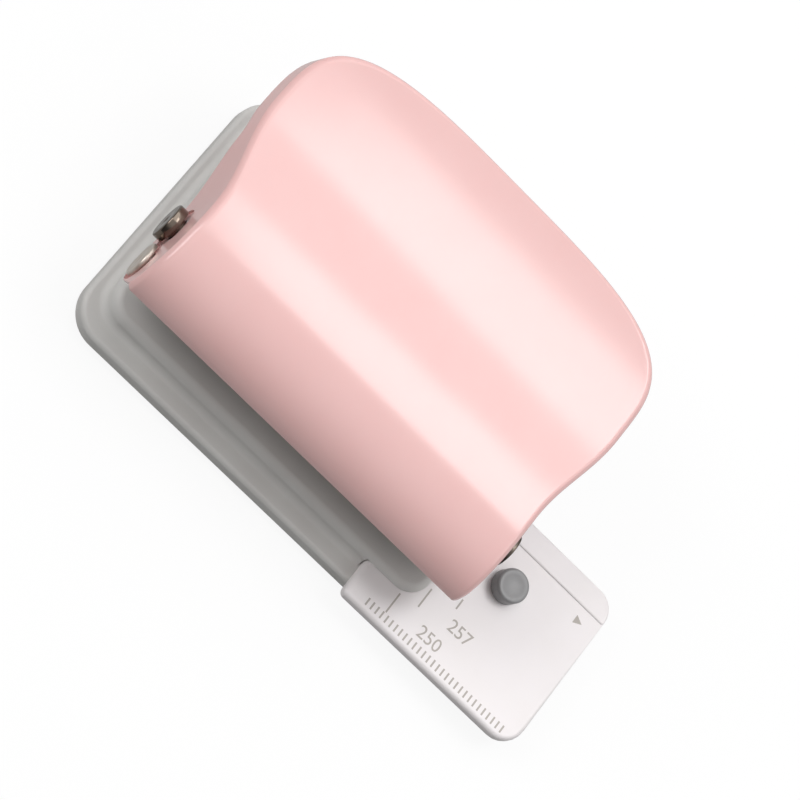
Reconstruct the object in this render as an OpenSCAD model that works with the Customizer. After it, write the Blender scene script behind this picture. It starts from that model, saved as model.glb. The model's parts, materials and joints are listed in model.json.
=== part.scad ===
// Row punch for loose-leaf paper: pressed bed, clip-on chip tray, wave handle and sliding paper gauge.
// Frame: x runs along the row of holes, y from the front to the back, z up from the desk.
// The origin is the middle of the row of holes, on the desk. All sizes are in millimetres.

/* [Holes] */
// Distance between neighbouring holes
hole_pitch = 9.5; // [9:0.1:10.5]
// Diameter of a punched hole
hole_d = 6; // [5:0.1:6.5]
// Distance from the paper's edge to the hole centres
edge_margin = 6.5; // [6:0.1:7.5]
// Height of the slot that takes the paper
throat_h = 1.2; // [0.8:0.1:1.5]
// Radius of the hollow ground across each cutting end
grind_r = 6.8; // [5:0.1:12]

/* [Bed and chip tray] */
// Thickness of the anti-slip pad
pad_t = 0.8; // [0.6:0.1:1.5]
// Depth of the pad's seat in the tray
pad_seat = 0.4; // [0.2:0.05:0.5]
// Distance from the tray's outline to the pad's outline
pad_inset = 4.5; // [3:0.5:8]
// Thickness of the tray's floor
tray_floor_t = 1.2; // [0.8:0.1:2]
// Thickness of the tray's walls
tray_wall_t = 1.2; // [0.8:0.1:1.4]
// Height of the tray's edge that shows below the bed
tray_show = 0.6; // [0.4:0.1:1]
// Gap between the bed's outer wall and the tray
tray_fit = 0.12; // [0.05:0.01:0.3]
// Height of the bed's flange above the tray's floor
flange_rise = 2; // [1.7:0.1:3]
// Width of the flange at each side of the raised bed
rim_side = 2.55; // [2.5:0.05:5]
// Width of the flange in front of the raised bed
rim_front = 3.9; // [3:0.1:6]
// Width of the flange behind the raised bed
rim_back = 4; // [3:0.1:6]
// Corner radius of the flange
flange_corner_r = 6; // [5:0.1:8]
// Rounding of the flange's outer edge
flange_edge_r = 0.9; // [0.4:0.1:1.2]
// Hollow between the flange and the raised bed
cove_r = 1.3; // [0.8:0.1:1.4]
// Distance from the row of holes to the raised bed's front
bed_front = 12.6; // [11.5:0.1:15]
// Distance from the row of holes to the raised bed's back
bed_back = 28; // [24:0.5:32]
// Distance from the frame's side plates to the raised bed's sides
bed_margin = 2.85; // [2.4:0.05:5]
// Corner radius of the raised bed
bed_corner_r = 4.5; // [3:0.1:6]
// Rounding of the raised bed's upper edge
bed_edge_r = 1.6; // [0.8:0.1:1.7]
// Thickness of the bed's sheet steel
bed_t = 1.1; // [0.8:0.1:1.4]
// Thickness of the die strip below the bed
die_t = 1.6; // [1:0.1:1.8]
// Width of the die strip, front to back
die_w = 11; // [9:0.5:12]

/* [Punch frame] */
// Distance from the last hole's centre to the end of the guide bar
guide_end = 4.6; // [4.4:0.1:6]
// Depth of the guide bar, front to back
guide_w = 10.4; // [9.6:0.1:11]
// Height of the guide bar
guide_h = 3; // [2.6:0.1:4]
// Depth of the spring pockets in the guide bar
pocket_depth = 1.5; // [1:0.1:1.8]
// Thickness of the frame's side plates
cheek_t = 1.5; // [1.2:0.1:2]
// Height of the side plates above the drive rod's slot
cheek_rise = 0.95; // [0.6:0.05:1.6]
// Length of a side plate's foot on the bed
foot_len = 9.5; // [8.5:0.5:12]
// Thickness of the paper stop's sheet steel
stop_t = 1; // [0.8:0.1:1.4]
// Height of the paper stop
stop_h = 3.8; // [3:0.1:5]
// Diameter of the pivot pin and the drive rod
pin_d = 3.5; // [3:0.1:4]
// Diameter of a pin's flat head
head_d = 6; // [5:0.1:6.4]
// Thickness of a pin's flat head
head_t = 0.7; // [0.5:0.1:1]
// Gap between the cover and the pivot pin's head
head_gap = 0.5; // [0.1:0.1:0.8]
// Distance that the drive rod's ends stand out beyond the pivot pin's
rod_reach = 1; // [0:0.1:2]
// Length of a pin's tail beyond its clip
tail_len = 0.35; // [0.2:0.05:1]
// Thickness of the spring clips on the pins
clip_t = 0.7; // [0.5:0.1:1]
// Diameter of the frame's screws
screw_d = 2.5; // [2:0.1:3]

/* [Motion] */
// Distance of the pivot pin in front of the row of holes
pivot_ahead = 7.2; // [7:0.1:8]
// Height of the pivot pin above the bed
pivot_rise = 9.2; // [8.8:0.1:10]
// Distance between the pivot pin and the drive rod
crank_r = 6.6; // [6.4:0.1:7.2]
// Angle through which the handle is pressed
press_deg = 20; // [17:0.5:21]
// Angle of the drive rod above the pivot pin at rest
rest_deg = 15; // [12:0.5:17]

/* [Springs] */
// Wire diameter of a return spring
wire_d = 0.6; // [0.4:0.05:0.7]
// Turns of a return spring
spring_turns = 3.5; // [2.5:0.5:4]
// Thickness of the washer between a spring and the drive rod
washer_t = 0.4; // [0.3:0.05:0.6]

/* [Handle] */
// Thickness of the lever's sheet steel
lever_t = 1.2; // [1:0.1:1.6]
// Length of the lever's web, front to back
web_len = 13; // [11:0.5:14]
// Thickness of the cover's side walls
skirt_t = 1.5; // [1.2:0.1:2]
// Thickness of the cover's top
cover_t = 2; // [1.6:0.1:2.4]
// Height of the handle's crest above the bed
crest_rise = 20.7; // [20:0.1:24]
// Height of the handle's front edge above the bed
brow_rise = 11.6; // [11:0.1:13]
// Distance from the row of holes to the handle's front edge
handle_front = 13; // [12.6:0.1:14]
// Distance from the row of holes to the handle's rear edge
handle_back = 37.8; // [36:0.1:40]
// Distance of the crest behind the row of holes
crest_y = 2; // [0:0.1:4]
// Distance of the palm hollow behind the row of holes
hollow_y = 20; // [18:0.5:22]
// Depth of the palm hollow below the crest
hollow_depth = 1; // [0.5:0.1:1.8]
// Rise of the rear edge above the palm hollow
rear_lift = 2.8; // [1:0.1:3.5]
// Extra half width of the cover at its front
front_flare = 0.65; // [0:0.05:1.5]
// Extra half width of the cover at its rear
rear_flare = 3.1; // [1.5:0.05:4]
// Distance of the widest place behind the row of holes
flare_y = 21.5; // [20.5:0.5:24]
// Rounding of the cover's upper edge
cover_edge_r = 0.7; // [0.5:0.1:1.2]
// Outward slope of the cover's side walls beside the pins in degrees
skirt_draft = 3; // [1:0.5:3]
// Outward slope of the cover's rear lip in degrees
lip_draft = 7; // [3:0.5:10]
// Height of the cover's rear lip
lip_h = 5.2; // [3:0.1:6]
// Distance from the pivot pin to the lower edge of the side walls
skirt_depth = 4; // [3.7:0.1:4.4]
// Slope of the side walls' lower edge behind the pins in degrees
skirt_deg = 30; // [26:0.5:32]
// Length over which that edge eases into the rear lip
lip_ease = 6.5; // [5:0.5:9]
// Distance from the widest place forward to the rear lip
lip_ahead = 2; // [1:0.5:4]

/* [Paper gauge] */
// Thickness of the gauge plate
gauge_t = 1.9; // [1.6:0.1:2.4]
// Reach of the gauge plate beyond the last hole's centre
gauge_reach = 35.25; // [32:0.25:40]
// Length of the front arm below the bed
gauge_tuck = 10; // [9.5:0.1:11]
// Distance from the row of holes to the gauge's front edge
gauge_front = 18.95; // [17:0.05:20]
// Corner radius of the gauge plate
gauge_corner_r = 4; // [2:0.25:6]
// Travel of the gauge plate out of the bed
gauge_travel = 4; // [3:0.25:4.5]
// Height of the paper ledge above the gauge plate
ledge_h = 0.4; // [0.3:0.05:1]
// Width of the paper ledge
ledge_w = 4.1; // [3.5:0.1:4.2]
// Diameter of the locating stud
stud_d = 5.5; // [4.5:0.1:5.8]
// Height of the locating stud above the gauge plate
stud_h = 2.6; // [1.5:0.1:2.8]

/* [Hidden] */
$fn = 48;
// Number of holes in the row
hole_count = 6;
// Hole pitches from the last punch to the locating stud
stud_steps = 2;
// Radial gaps of a running fit, of a fixed fit, and between a rod and the slot it travels in
run_gap = 0.04;
fixed_gap = 0.05;
slot_gap = 0.2;
// Gap between the lever and the cover's side walls
cover_gap = 0.15;
// Gap between the gauge plate and what lies above and below it
gauge_gap = 0.1;
// Overlap that keeps a cut clear of the faces that it goes through
over = 1;

// Heights from the desk upwards
tray_z = pad_t - pad_seat;
floor_z = pad_t + tray_floor_t;
flange_z = floor_z + flange_rise;
tray_top = flange_z - bed_t;
wall_low = tray_z + tray_show;
gauge_z = flange_z + gauge_gap;
gauge_top = gauge_z + gauge_t;
bed_under = gauge_top + gauge_gap;
bed_z = bed_under + bed_t;
guide_z = bed_z + throat_h;
guide_top = guide_z + guide_h;
pivot_z = bed_z + pivot_rise;

// Crank: the drive rod swings about the pivot pin from above its level to below it
pivot_y = -pivot_ahead;
rod_y = pivot_y + crank_r * cos(rest_deg);
rod_z = pivot_z + crank_r * sin(rest_deg);
rod_slot_y = pivot_y + crank_r * (1 + cos(rest_deg)) / 2;
stroke = crank_r * (sin(rest_deg) + sin(press_deg - rest_deg));
pin_r = pin_d / 2;
cheek_z = rod_z + pin_r + slot_gap + cheek_rise;

// Widths from the row of holes outwards
last_hole = hole_pitch * (hole_count - 1) / 2;
guide_half = last_hole + guide_end;
cheek_in = guide_half + cover_gap;
cheek_out = cheek_in + cheek_t;
lever_in = cheek_out + slot_gap;
lever_out = lever_in + lever_t;
waist_half = lever_out + cover_gap + skirt_t;
flare_half = waist_half + rear_flare;
bed_half = cheek_out + bed_margin;
flange_half = bed_half + rim_side;
flange_front = -bed_front - rim_front;
flange_back = bed_back + rim_back;
tray_in = bed_t + tray_fit;

// Punches and springs
punch_r = hole_d / 2;
punch_tip = guide_z + 2 * fixed_gap;
punch_top = rod_z + pin_r + over;
pocket_z = guide_top - pocket_depth;
washer_z = rod_z - pin_r - fixed_gap - washer_t;
spring_play = 0.3;
coil_r = punch_r + spring_play + wire_d / 2;
pocket_r = coil_r + wire_d / 2 + spring_play;
washer_r = coil_r + wire_d / 2;
spring_low = pocket_z + wire_d / 2 + fixed_gap;
spring_high = washer_z - wire_d / 2 - fixed_gap;

// Paper stop and feet behind the throat
stop_foot_back = edge_margin + stop_t + 2.9;
foot_front = stop_foot_back + 0.6;
foot_back = foot_front + 2 * screw_d;
foot_screw_y = (foot_front + foot_back) / 2;
foot_screws_x = [cheek_in - foot_len * 0.27, cheek_in - foot_len * 0.77];
stop_screw_x = 1.5 * hole_pitch;
stop_screw_y = (edge_margin + stop_t + stop_foot_back) / 2;
screw_head_r = 0.84 * screw_d;
screw_head_t = 0.5 * screw_d;

// Handle: heights, and the sizes of the side walls and of the pins' recesses
brow_z = bed_z + brow_rise;
crest_z = bed_z + crest_rise;
hollow_z = crest_z - hollow_depth;
skirt_z_low = pivot_z - skirt_depth;
ear_front = pivot_y + 1.5;
ear_back = rod_y + over;
lip_to = flare_y - lip_ahead;
lip_from = lip_to - lip_ease;
tail_power = 3.6;
recess_r = head_d / 2 + 0.7;
recess_x = waist_half + cover_gap;
head_x = recess_x + head_gap;
clip_r = head_d / 2 + 0.15;
groove_r = pin_r - 0.4;

// Lever and its screws
web_t = lever_t + 0.3;
web_top = hollow_z - cover_t - 0.6;
web_front = foot_back - 2;
web_back = web_front + web_len;
cover_screw_x = 2 * hole_pitch;
cover_screw_y = (web_front + web_back) / 2;
boss_r = 1.3 * screw_d;

// Gauge plate, stud and stop pin
gauge_left = bed_half - gauge_tuck;
gauge_right = last_hole + gauge_reach;
gauge_back = edge_margin + ledge_w;
arm_gap = 1.1;
arm_front_y = -die_w / 2 - arm_gap;
arm_rear_y = edge_margin + arm_gap / 2;
notch_x = cheek_in + 2 * arm_gap;
ledge_left = bed_half + cove_r + arm_gap;
stud_x = last_hole + stud_steps * hole_pitch;
stud_r = stud_d / 2;
stud_bevel = 0.5;
spigot_r = 0.55 * stud_r;
stop_pin_r = 1;
stop_head_r = 1.6;
stop_head_t = 0.8;
stop_slot_r = stop_pin_r + fixed_gap;
stop_pin_x = gauge_left + arm_gap + stop_slot_r + gauge_travel;
stop_pin_y = (arm_front_y - bed_front + bed_t) / 2;
window_left = gauge_left - slot_gap;
window_back = gauge_back + slot_gap;

// Steps of the faceted curves
arc_steps = 6;
edge_steps = 4;
brow_steps = 10;
wave_steps = 14;
tail_steps = 12;
last_station = brow_steps + wave_steps + tail_steps;
tail_deg = 89;
rings_per_turn = 8;
wire_sides = 6;

PUNCHES = [for (i = [1 : hole_count]) str("punch_", i)];
SPRINGS = [for (i = [1 : hole_count]) str("return_spring_", i)];
WASHERS = [for (i = [1 : hole_count]) str("spring_washer_", i)];

// Place of hole number i, counted from the left
function hole_x(i) = (i - (hole_count + 1) / 2) * hole_pitch;

// Closed outline whose corners [x, y, r] are rounded by their own radius
function unit(v) = v / norm(v);
function corner_arc(a, p, b, r) =
    let (
        u = unit(a - p),
        v = unit(b - p),
        half = acos(u * v) / 2,
        c = p + unit(u + v) * r / sin(half),
        from = p + u * r / tan(half) - c,
        to = p + v * r / tan(half) - c,
        start = atan2(from.y, from.x),
        turn = atan2(from.x * to.y - from.y * to.x, from * to)
    )
    [for (k = [0 : arc_steps]) c + r * [cos(start + turn * k / arc_steps), sin(start + turn * k / arc_steps)]];
function rounded(corners) =
    let (n = len(corners), flat = [for (q = corners) [q.x, q.y]])
    [
        for (i = [0 : n - 1])
            each corners[i].z == 0
                ? [flat[i]]
                : corner_arc(flat[(i + n - 1) % n], flat[i], flat[(i + 1) % n], corners[i].z)
    ];

// Extrudes an outline drawn in (y, z) along x
module along_x(from, to) {
    translate([from, 0, 0]) rotate([90, 0, 90]) linear_extrude(to - from) children();
}

// Cylinder along x through the point (y, z)
module bar_x(from, to, y, z, r) {
    translate([from, y, z]) rotate([0, 90, 0]) cylinder(r = r, h = to - from);
}

// Quarter of a square's corner outside its rounding, to be cut away
module corner_waste(r) {
    difference() {
        square(r + over);
        circle(r);
    }
}

// Upright edge of a slab of corner radius r, with its outer edges rounded above and below
module slab_edge(r, low, high, top_r, low_r) {
    difference() {
        translate([0, low]) square([r, high - low]);
        if (top_r > 0) translate([r - top_r, high - top_r]) corner_waste(top_r);
        if (low_r > 0) translate([r - low_r, low + low_r]) mirror([0, 1]) corner_waste(low_r);
    }
}

// Carries a section round an outline with rounded corners; the section's x counts from a corner's centre
module around(half, front, back, r) {
    spans = [[half, back, back - front], [-half, back, 2 * half], [-half, front, back - front], [half, front, 2 * half]];
    for (k = [0 : 3]) {
        s = spans[k];
        translate([s.x - sign(s.x) * r, s.y + (k < 2 ? -r : r), 0]) rotate(90 * k) {
            rotate_extrude(angle = 90) children();
            rotate([90, 0, 0]) linear_extrude(s.z - 2 * r) children();
        }
    }
}

// Slab with rounded corners and rounded upper and lower edges
module slab(half, front, back, r, low, high, top_r = 0, low_r = 0) {
    translate([r - half, front + r, low]) cube([2 * (half - r), back - front - 2 * r, high - low]);
    around(half, front, back, r) slab_edge(r, low, high, top_r, low_r);
}

// Slab that lies inside the flange's outline by inset
module flange_slab(inset, low, high, top_r = 0, low_r = 0) {
    slab(
        flange_half - inset, flange_front + inset, flange_back - inset,
        max(1.5, flange_corner_r - inset), low, high, top_r, low_r
    );
}

// Slab that lies inside the raised bed's outline by inset
module bed_slab(inset, low, high, top_r = 0) {
    slab(bed_half - inset, inset - bed_front, bed_back - inset, bed_corner_r - inset, low, high, top_r);
}

// Pan-head screw from below: its head against the height seat, its shank up to tip
module screw_from_below(x, y, seat, tip) {
    translate([x, y, seat - screw_head_t]) cylinder(r = screw_head_r, h = screw_head_t);
    translate([x, y, seat]) cylinder(d = screw_d, h = tip - seat);
}

// Clearance hole for such a screw
module screw_hole(x, y, low, high) {
    translate([x, y, low - over]) cylinder(d = screw_d + 2 * fixed_gap, h = high - low + 2 * over);
}

module anti_slip_pad() {
    color("#4b4b4b") flange_slab(pad_inset, 0, pad_t, pad_seat / 2, pad_seat / 2);
}

// Shallow tray that closes the bed from below, inside its turned-down wall, and catches the chips
module chip_tray() {
    color("#8e9092") difference() {
        flange_slab(tray_in, tray_z, tray_top, 0, pad_seat);
        flange_slab(tray_in + tray_wall_t, floor_z, tray_top + over, 0, pad_seat);
        flange_slab(pad_inset - fixed_gap, tray_z - over, pad_t);
    }
}

// Pressed steel bed: raised in the middle, with a flange and a turned-down wall all round.
// A window in its right front corner lets the gauge slide in above the flange.
module bed_plate() {
    color("#b1b2b1") difference() {
        union() {
            flange_slab(0, wall_low, flange_z, flange_edge_r);
            bed_slab(0, tray_top, bed_z, bed_edge_r);
            around(bed_half, -bed_front, bed_back, bed_corner_r) difference() {
                translate([bed_corner_r - bed_t / 2, tray_top + bed_t / 2])
                    square([cove_r + bed_t / 2, cove_r + bed_t / 2]);
                translate([bed_corner_r + cove_r, flange_z + cove_r]) circle(cove_r);
            }
        }
        flange_slab(bed_t, wall_low - over, tray_top);
        bed_slab(bed_t, wall_low - over, bed_under, bed_edge_r / 2);
        translate([window_left, -bed_front - cove_r - over, flange_z])
            cube([bed_half + cove_r + over - window_left, bed_front + cove_r + over + window_back, bed_under - flange_z]);
        for (i = [1 : hole_count])
            translate([hole_x(i), 0, bed_under - over]) cylinder(r = punch_r + run_gap, h = bed_t + 2 * over);
        for (side = [-1, 1]) {
            for (x = foot_screws_x) screw_hole(side * x, foot_screw_y, bed_under, bed_z);
            screw_hole(side * stop_screw_x, stop_screw_y, bed_under, bed_z);
        }
    }
}

// Hardened strip welded below the bed, with the holes widened below the cutting edge
module die_strip() {
    die_z = bed_under - die_t;
    color("#8d8f92") difference() {
        translate([-guide_half, -die_w / 2, die_z]) cube([2 * guide_half, die_w, die_t]);
        for (i = [1 : hole_count]) translate([hole_x(i), 0, die_z - over]) {
            cylinder(r = punch_r + run_gap, h = die_t + 2 * over);
            cylinder(r = punch_r + 2 * fixed_gap, h = die_t / 2 + over);
        }
    }
}

// Right side plate: reaches forward over the throat, and stands on a foot bent inwards behind it
module side_plate() {
    throat_back = edge_margin + 0.4;
    color("#c3c6c9") difference() {
        union() {
            along_x(cheek_in, cheek_out) polygon(rounded([
                [throat_back, bed_z, 0],
                [foot_back, bed_z, 0],
                [foot_back, bed_z + cheek_t + 1, 1.5],
                [foot_front - 1, (bed_z + cheek_z) / 2, 2],
                [throat_back - 2.4, cheek_z, 2],
                [pivot_y + 3, cheek_z, 3],
                [pivot_y - pin_d, pivot_z + pin_d, 3],
                [pivot_y - pin_d, pivot_z - pin_d, 2],
                [pivot_y + pin_d, guide_z, 1],
                [throat_back, guide_z, 0.4]
            ]));
            translate([cheek_in - foot_len, foot_front, bed_z]) cube([foot_len, foot_back - foot_front, cheek_t]);
        }
        bar_x(cheek_in - over, cheek_out + over, pivot_y, pivot_z, pin_r + fixed_gap);
        for (z = [rod_z, rod_z - stroke])
            bar_x(cheek_in - over, cheek_out + over, rod_slot_y, z, pin_r + slot_gap);
        translate([cheek_in - over, rod_slot_y - pin_r - slot_gap, rod_z - stroke])
            cube([cheek_t + 2 * over, pin_d + 2 * slot_gap, stroke]);
        translate([cheek_in - over, -guide_w / 4 - fixed_gap, guide_z + guide_h / 4 - fixed_gap])
            cube([cheek_t + 2 * over, guide_w / 2 + 2 * fixed_gap, guide_h / 2 + 2 * fixed_gap]);
        for (x = foot_screws_x) screw_hole(x, foot_screw_y, bed_z, bed_z + cheek_t);
    }
}

module left_side_plate() {
    mirror([1, 0, 0]) side_plate();
}

module right_side_plate() {
    side_plate();
}

module frame_screws() {
    color("#cfd2d4")
        for (side = [-1, 1], x = foot_screws_x)
            screw_from_below(side * x, foot_screw_y, bed_under, bed_z + cheek_t + screw_d / 4);
}

// Cast bar over the throat: guides the punches, strips the paper and holds the springs in pockets
module punch_guide() {
    color("#bfc2c5") difference() {
        union() {
            translate([-guide_half, -guide_w / 2, guide_z]) cube([2 * guide_half, guide_w, guide_h]);
            translate([-cheek_out, -guide_w / 4, guide_z + guide_h / 4]) cube([2 * cheek_out, guide_w / 2, guide_h / 2]);
        }
        for (i = [1 : hole_count]) translate([hole_x(i), 0, 0]) {
            translate([0, 0, guide_z - over]) cylinder(r = punch_r + run_gap, h = guide_h + 2 * over);
            translate([0, 0, pocket_z]) cylinder(r = pocket_r, h = pocket_depth + over);
        }
    }
}

// Bent strip behind the throat that the paper's edge is pushed against
module paper_stop() {
    color("#c9ccce") difference() {
        along_x(-guide_half, guide_half) polygon(rounded([
            [edge_margin, bed_z, 0],
            [stop_foot_back, bed_z, 0],
            [stop_foot_back, bed_z + stop_t, 0],
            [edge_margin + stop_t, bed_z + stop_t, 0.3],
            [edge_margin + stop_t, bed_z + stop_h, 0],
            [edge_margin, bed_z + stop_h, 0]
        ]));
        for (side = [-1, 1]) screw_hole(side * stop_screw_x, stop_screw_y, bed_z, bed_z + stop_t);
    }
}

module stop_screws() {
    color("#cfd2d4")
        for (side = [-1, 1])
            screw_from_below(side * stop_screw_x, stop_screw_y, bed_under, bed_z + stop_t + screw_d / 4);
}

// Pin along x: a flat head on the left at the distance out, and a clip groove as far out on the right
module headed_pin(y, z, out) {
    color("#d9dbdd") {
        difference() {
            bar_x(-out, out + clip_t + tail_len, y, z, pin_r);
            translate([out, y, z]) rotate([0, 90, 0]) difference() {
                cylinder(r = pin_r + over, h = clip_t + fixed_gap);
                cylinder(r = groove_r, h = clip_t + fixed_gap);
            }
        }
        translate([-out, y, z]) rotate([0, -90, 0]) rotate_extrude() difference() {
            square([head_d / 2, head_t]);
            translate([head_d / 2 - head_t / 2, head_t / 2]) corner_waste(head_t / 2);
        }
    }
}

// Spring clip pushed onto the groove from one side, with its mouth and two round reliefs
module groove_clip(y, z, out) {
    color("#8f9296") translate([out, y, z]) rotate([90, 0, 90]) linear_extrude(clip_t) difference() {
        circle(clip_r);
        circle(groove_r + fixed_gap);
        translate([-groove_r, -clip_r - over]) square([2 * groove_r, clip_r + over]);
        for (a = [30, 150]) rotate(a) translate([groove_r + 0.4, 0]) circle(0.6);
    }
}

module pivot_pin() {
    headed_pin(pivot_y, pivot_z, head_x);
}

module pivot_clip() {
    groove_clip(pivot_y, pivot_z, head_x);
}

module drive_rod() {
    headed_pin(rod_y, rod_z, head_x + rod_reach);
}

module drive_clip() {
    groove_clip(rod_y, rod_z, head_x + rod_reach);
}

// Handle cover: stations run from the front edge over the crest and the palm hollow to the rear edge
function wave_z(y) =
    y < crest_y ? crest_z
    : y < hollow_y ? crest_z - hollow_depth * (1 - cos(180 * (y - crest_y) / (hollow_y - crest_y))) / 2
    : hollow_z + rear_lift * (1 - cos(90 * (y - hollow_y) / (handle_back - hollow_y)));
function half_width(y) =
    y < crest_y
        ? waist_half + front_flare * pow((crest_y - y) / (crest_y + handle_front), 2)
        : waist_half + rear_flare * (1 - cos(180 * (y - crest_y) / (flare_y - crest_y))) / 2;

// Half width, y and z of the outer surface at station k, moved in by inset at the side and by drop at the top
function station(k, inset, drop) =
    k <= brow_steps
        ? let (
            a = 90 * k / brow_steps,
            y = crest_y - (crest_y + handle_front - drop) * cos(a)
        )
        [half_width(y) - inset, y, brow_z + (crest_z - brow_z - drop) * sin(a)]
    : k <= brow_steps + wave_steps
        ? let (y = crest_y + (flare_y - crest_y) * (k - brow_steps) / wave_steps)
        [half_width(y) - inset, y, wave_z(y) - drop]
    : let (
        t = tail_deg * (k - brow_steps - wave_steps) / tail_steps,
        y = flare_y + (handle_back - flare_y - inset) * pow(sin(t), 2 / tail_power)
    )
    [(flare_half - inset) * pow(cos(t), 2 / tail_power), y, wave_z(y) - drop];

// Lower edge of the side walls: round below the pins, parallel to the bed when pressed, then the rear lip
function ease(t) = let (s = min(1, max(0, t))) s * s * (3 - 2 * s);
function skirt_z(y) =
    y < ear_front
        ? skirt_z_low + (brow_z - skirt_z_low) * (1 - sqrt(1 - pow((ear_front - y) / (ear_front + handle_front), 2)))
        : let (
            slope = skirt_z_low + max(0, y - ear_back) * tan(skirt_deg),
            s = ease((y - lip_from) / (lip_to - lip_from))
        )
        slope * (1 - s) + (wave_z(y) - lip_h) * s;
function on_side(p, side) = [side * p.x, p.y, p.z];
function edge_point(k, j, side) =
    let (a = 90 * j / edge_steps)
    on_side(station(k, cover_edge_r * (1 - cos(a)), cover_edge_r * (1 - sin(a))), side);
function draft_at(y) = skirt_draft + (lip_draft - skirt_draft) * ease((y - ear_back) / (lip_to - ear_back));
function skirt_point(k, inset, drop, side) =
    let (
        p = station(k, inset, drop),
        z = skirt_z(p.y),
        q = station(k, inset - (p.z - z) * tan(draft_at(p.y)), drop)
    )
    [side * q.x, q.y, z];

// Closed section at station k: outside from left to right, then inside from right to left
function section(k) = concat(
    [skirt_point(k, 0, cover_edge_r, -1)],
    [for (j = [0 : edge_steps]) edge_point(k, j, -1)],
    [for (j = [edge_steps : -1 : 0]) edge_point(k, j, 1)],
    [skirt_point(k, 0, cover_edge_r, 1), skirt_point(k, skirt_t, cover_t, 1)],
    [on_side(station(k, skirt_t, cover_t), 1), on_side(station(k, skirt_t, cover_t), -1)],
    [skirt_point(k, skirt_t, cover_t, -1)]
);
section_n = 2 * edge_steps + 8;
right_edge = 2 * edge_steps + 2;
right_low = right_edge + 1;
in_right_low = right_edge + 2;
in_right = right_edge + 3;
in_left = right_edge + 4;
in_left_low = right_edge + 5;
function halves(q) = [[q[0], q[1], q[2]], [q[0], q[2], q[3]]];
function cover_faces() =
    let (b = last_station * section_n)
    concat(
        [
            for (k = [0 : last_station - 1], i = [0 : section_n - 1])
                let (p = k * section_n, n = (i + 1) % section_n)
                each halves([p + i, p + section_n + i, p + section_n + n, p + n])
        ],
        [each halves([0, 1, in_left, in_left_low]), each halves([right_edge, right_low, in_right_low, in_right])],
        [for (j = [1 : edge_steps]) [j, j + 1, in_left]],
        [each halves([edge_steps + 1, edge_steps + 2, in_right, in_left])],
        [for (j = [edge_steps + 2 : right_edge - 1]) [j, j + 1, in_right]],
        [for (j = [0 : edge_steps]) each halves([b + j, b + right_low - j, b + right_edge - j, b + j + 1])],
        [each halves([b, b + in_left_low, b + in_right_low, b + right_low])],
        [each halves([b + in_left_low, b + in_left, b + in_right, b + in_right_low])]
    );

module handle_cover() {
    color("#f9cfce") difference() {
        union() {
            polyhedron([for (k = [0 : last_station]) each section(k)], cover_faces(), convexity = 8);
            for (side = [-1, 1])
                translate([side * cover_screw_x, cover_screw_y, web_top])
                    cylinder(r = boss_r, h = wave_z(cover_screw_y) - cover_t / 2 - web_top);
        }
        for (side = [-1, 1]) {
            screw_hole(side * cover_screw_x, cover_screw_y, web_top, web_top + screw_d - 2 * over);
            for (pin = [[pivot_y, pivot_z, slot_gap], [rod_y, rod_z, fixed_gap]]) {
                mirror([side < 0 ? 1 : 0, 0, 0]) {
                    bar_x(recess_x, recess_x + 4 * over, pin[0], pin[1], recess_r);
                    bar_x(lever_in, recess_x + over, pin[0], pin[1], pin_r + pin[2]);
                }
            }
        }
    }
}

// Steel lever inside the cover: two ears on the pins, joined by a web that the cover is screwed to
module lever_frame() {
    ear_r = pin_d;
    color("#c3c6c9") difference() {
        union() {
            for (side = [-1, 1]) mirror([side < 0 ? 1 : 0, 0, 0]) along_x(lever_in, lever_out) polygon(rounded([
                [pivot_y - ear_r, pivot_z - ear_r, 2.5],
                [rod_y + over / 2, pivot_z - ear_r, 2],
                [web_front, web_top - web_t, 2],
                [web_back, web_top - web_t, 0],
                [web_back, web_top, 0],
                [rod_y + 2 * ear_r, web_top, 3],
                [rod_y, rod_z + ear_r, 2],
                [pivot_y - ear_r, pivot_z + ear_r, 2.5]
            ]));
            translate([-lever_out, web_front, web_top - web_t]) cube([2 * lever_out, web_back - web_front, web_t]);
        }
        for (side = [-1, 1]) {
            screw_hole(side * cover_screw_x, cover_screw_y, web_top - web_t, web_top);
            mirror([side < 0 ? 1 : 0, 0, 0]) {
                bar_x(lever_in - over, lever_out + over, pivot_y, pivot_z, pin_r + run_gap);
                bar_x(lever_in - over, lever_out + over, rod_y, rod_z, pin_r + fixed_gap);
            }
        }
    }
}

module cover_screws() {
    color("#cfd2d4")
        for (side = [-1, 1])
            screw_from_below(side * cover_screw_x, cover_screw_y, web_top - web_t, web_top + screw_d - over - fixed_gap);
}

// Punch with a hollow-ground end and a cross hole for the drive rod
module punch(i) {
    color("#d3d6d8") difference() {
        translate([hole_x(i), 0, punch_tip]) cylinder(r = punch_r, h = punch_top - punch_tip);
        translate([hole_x(i), punch_r + over, punch_tip - sqrt(grind_r * grind_r - punch_r * punch_r)])
            rotate([90, 0, 0]) cylinder(r = grind_r, h = 2 * (punch_r + over), $fn = 96);
        bar_x(hole_x(i) - punch_r - over, hole_x(i) + punch_r + over, rod_slot_y, rod_z, pin_r + slot_gap);
    }
}

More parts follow.
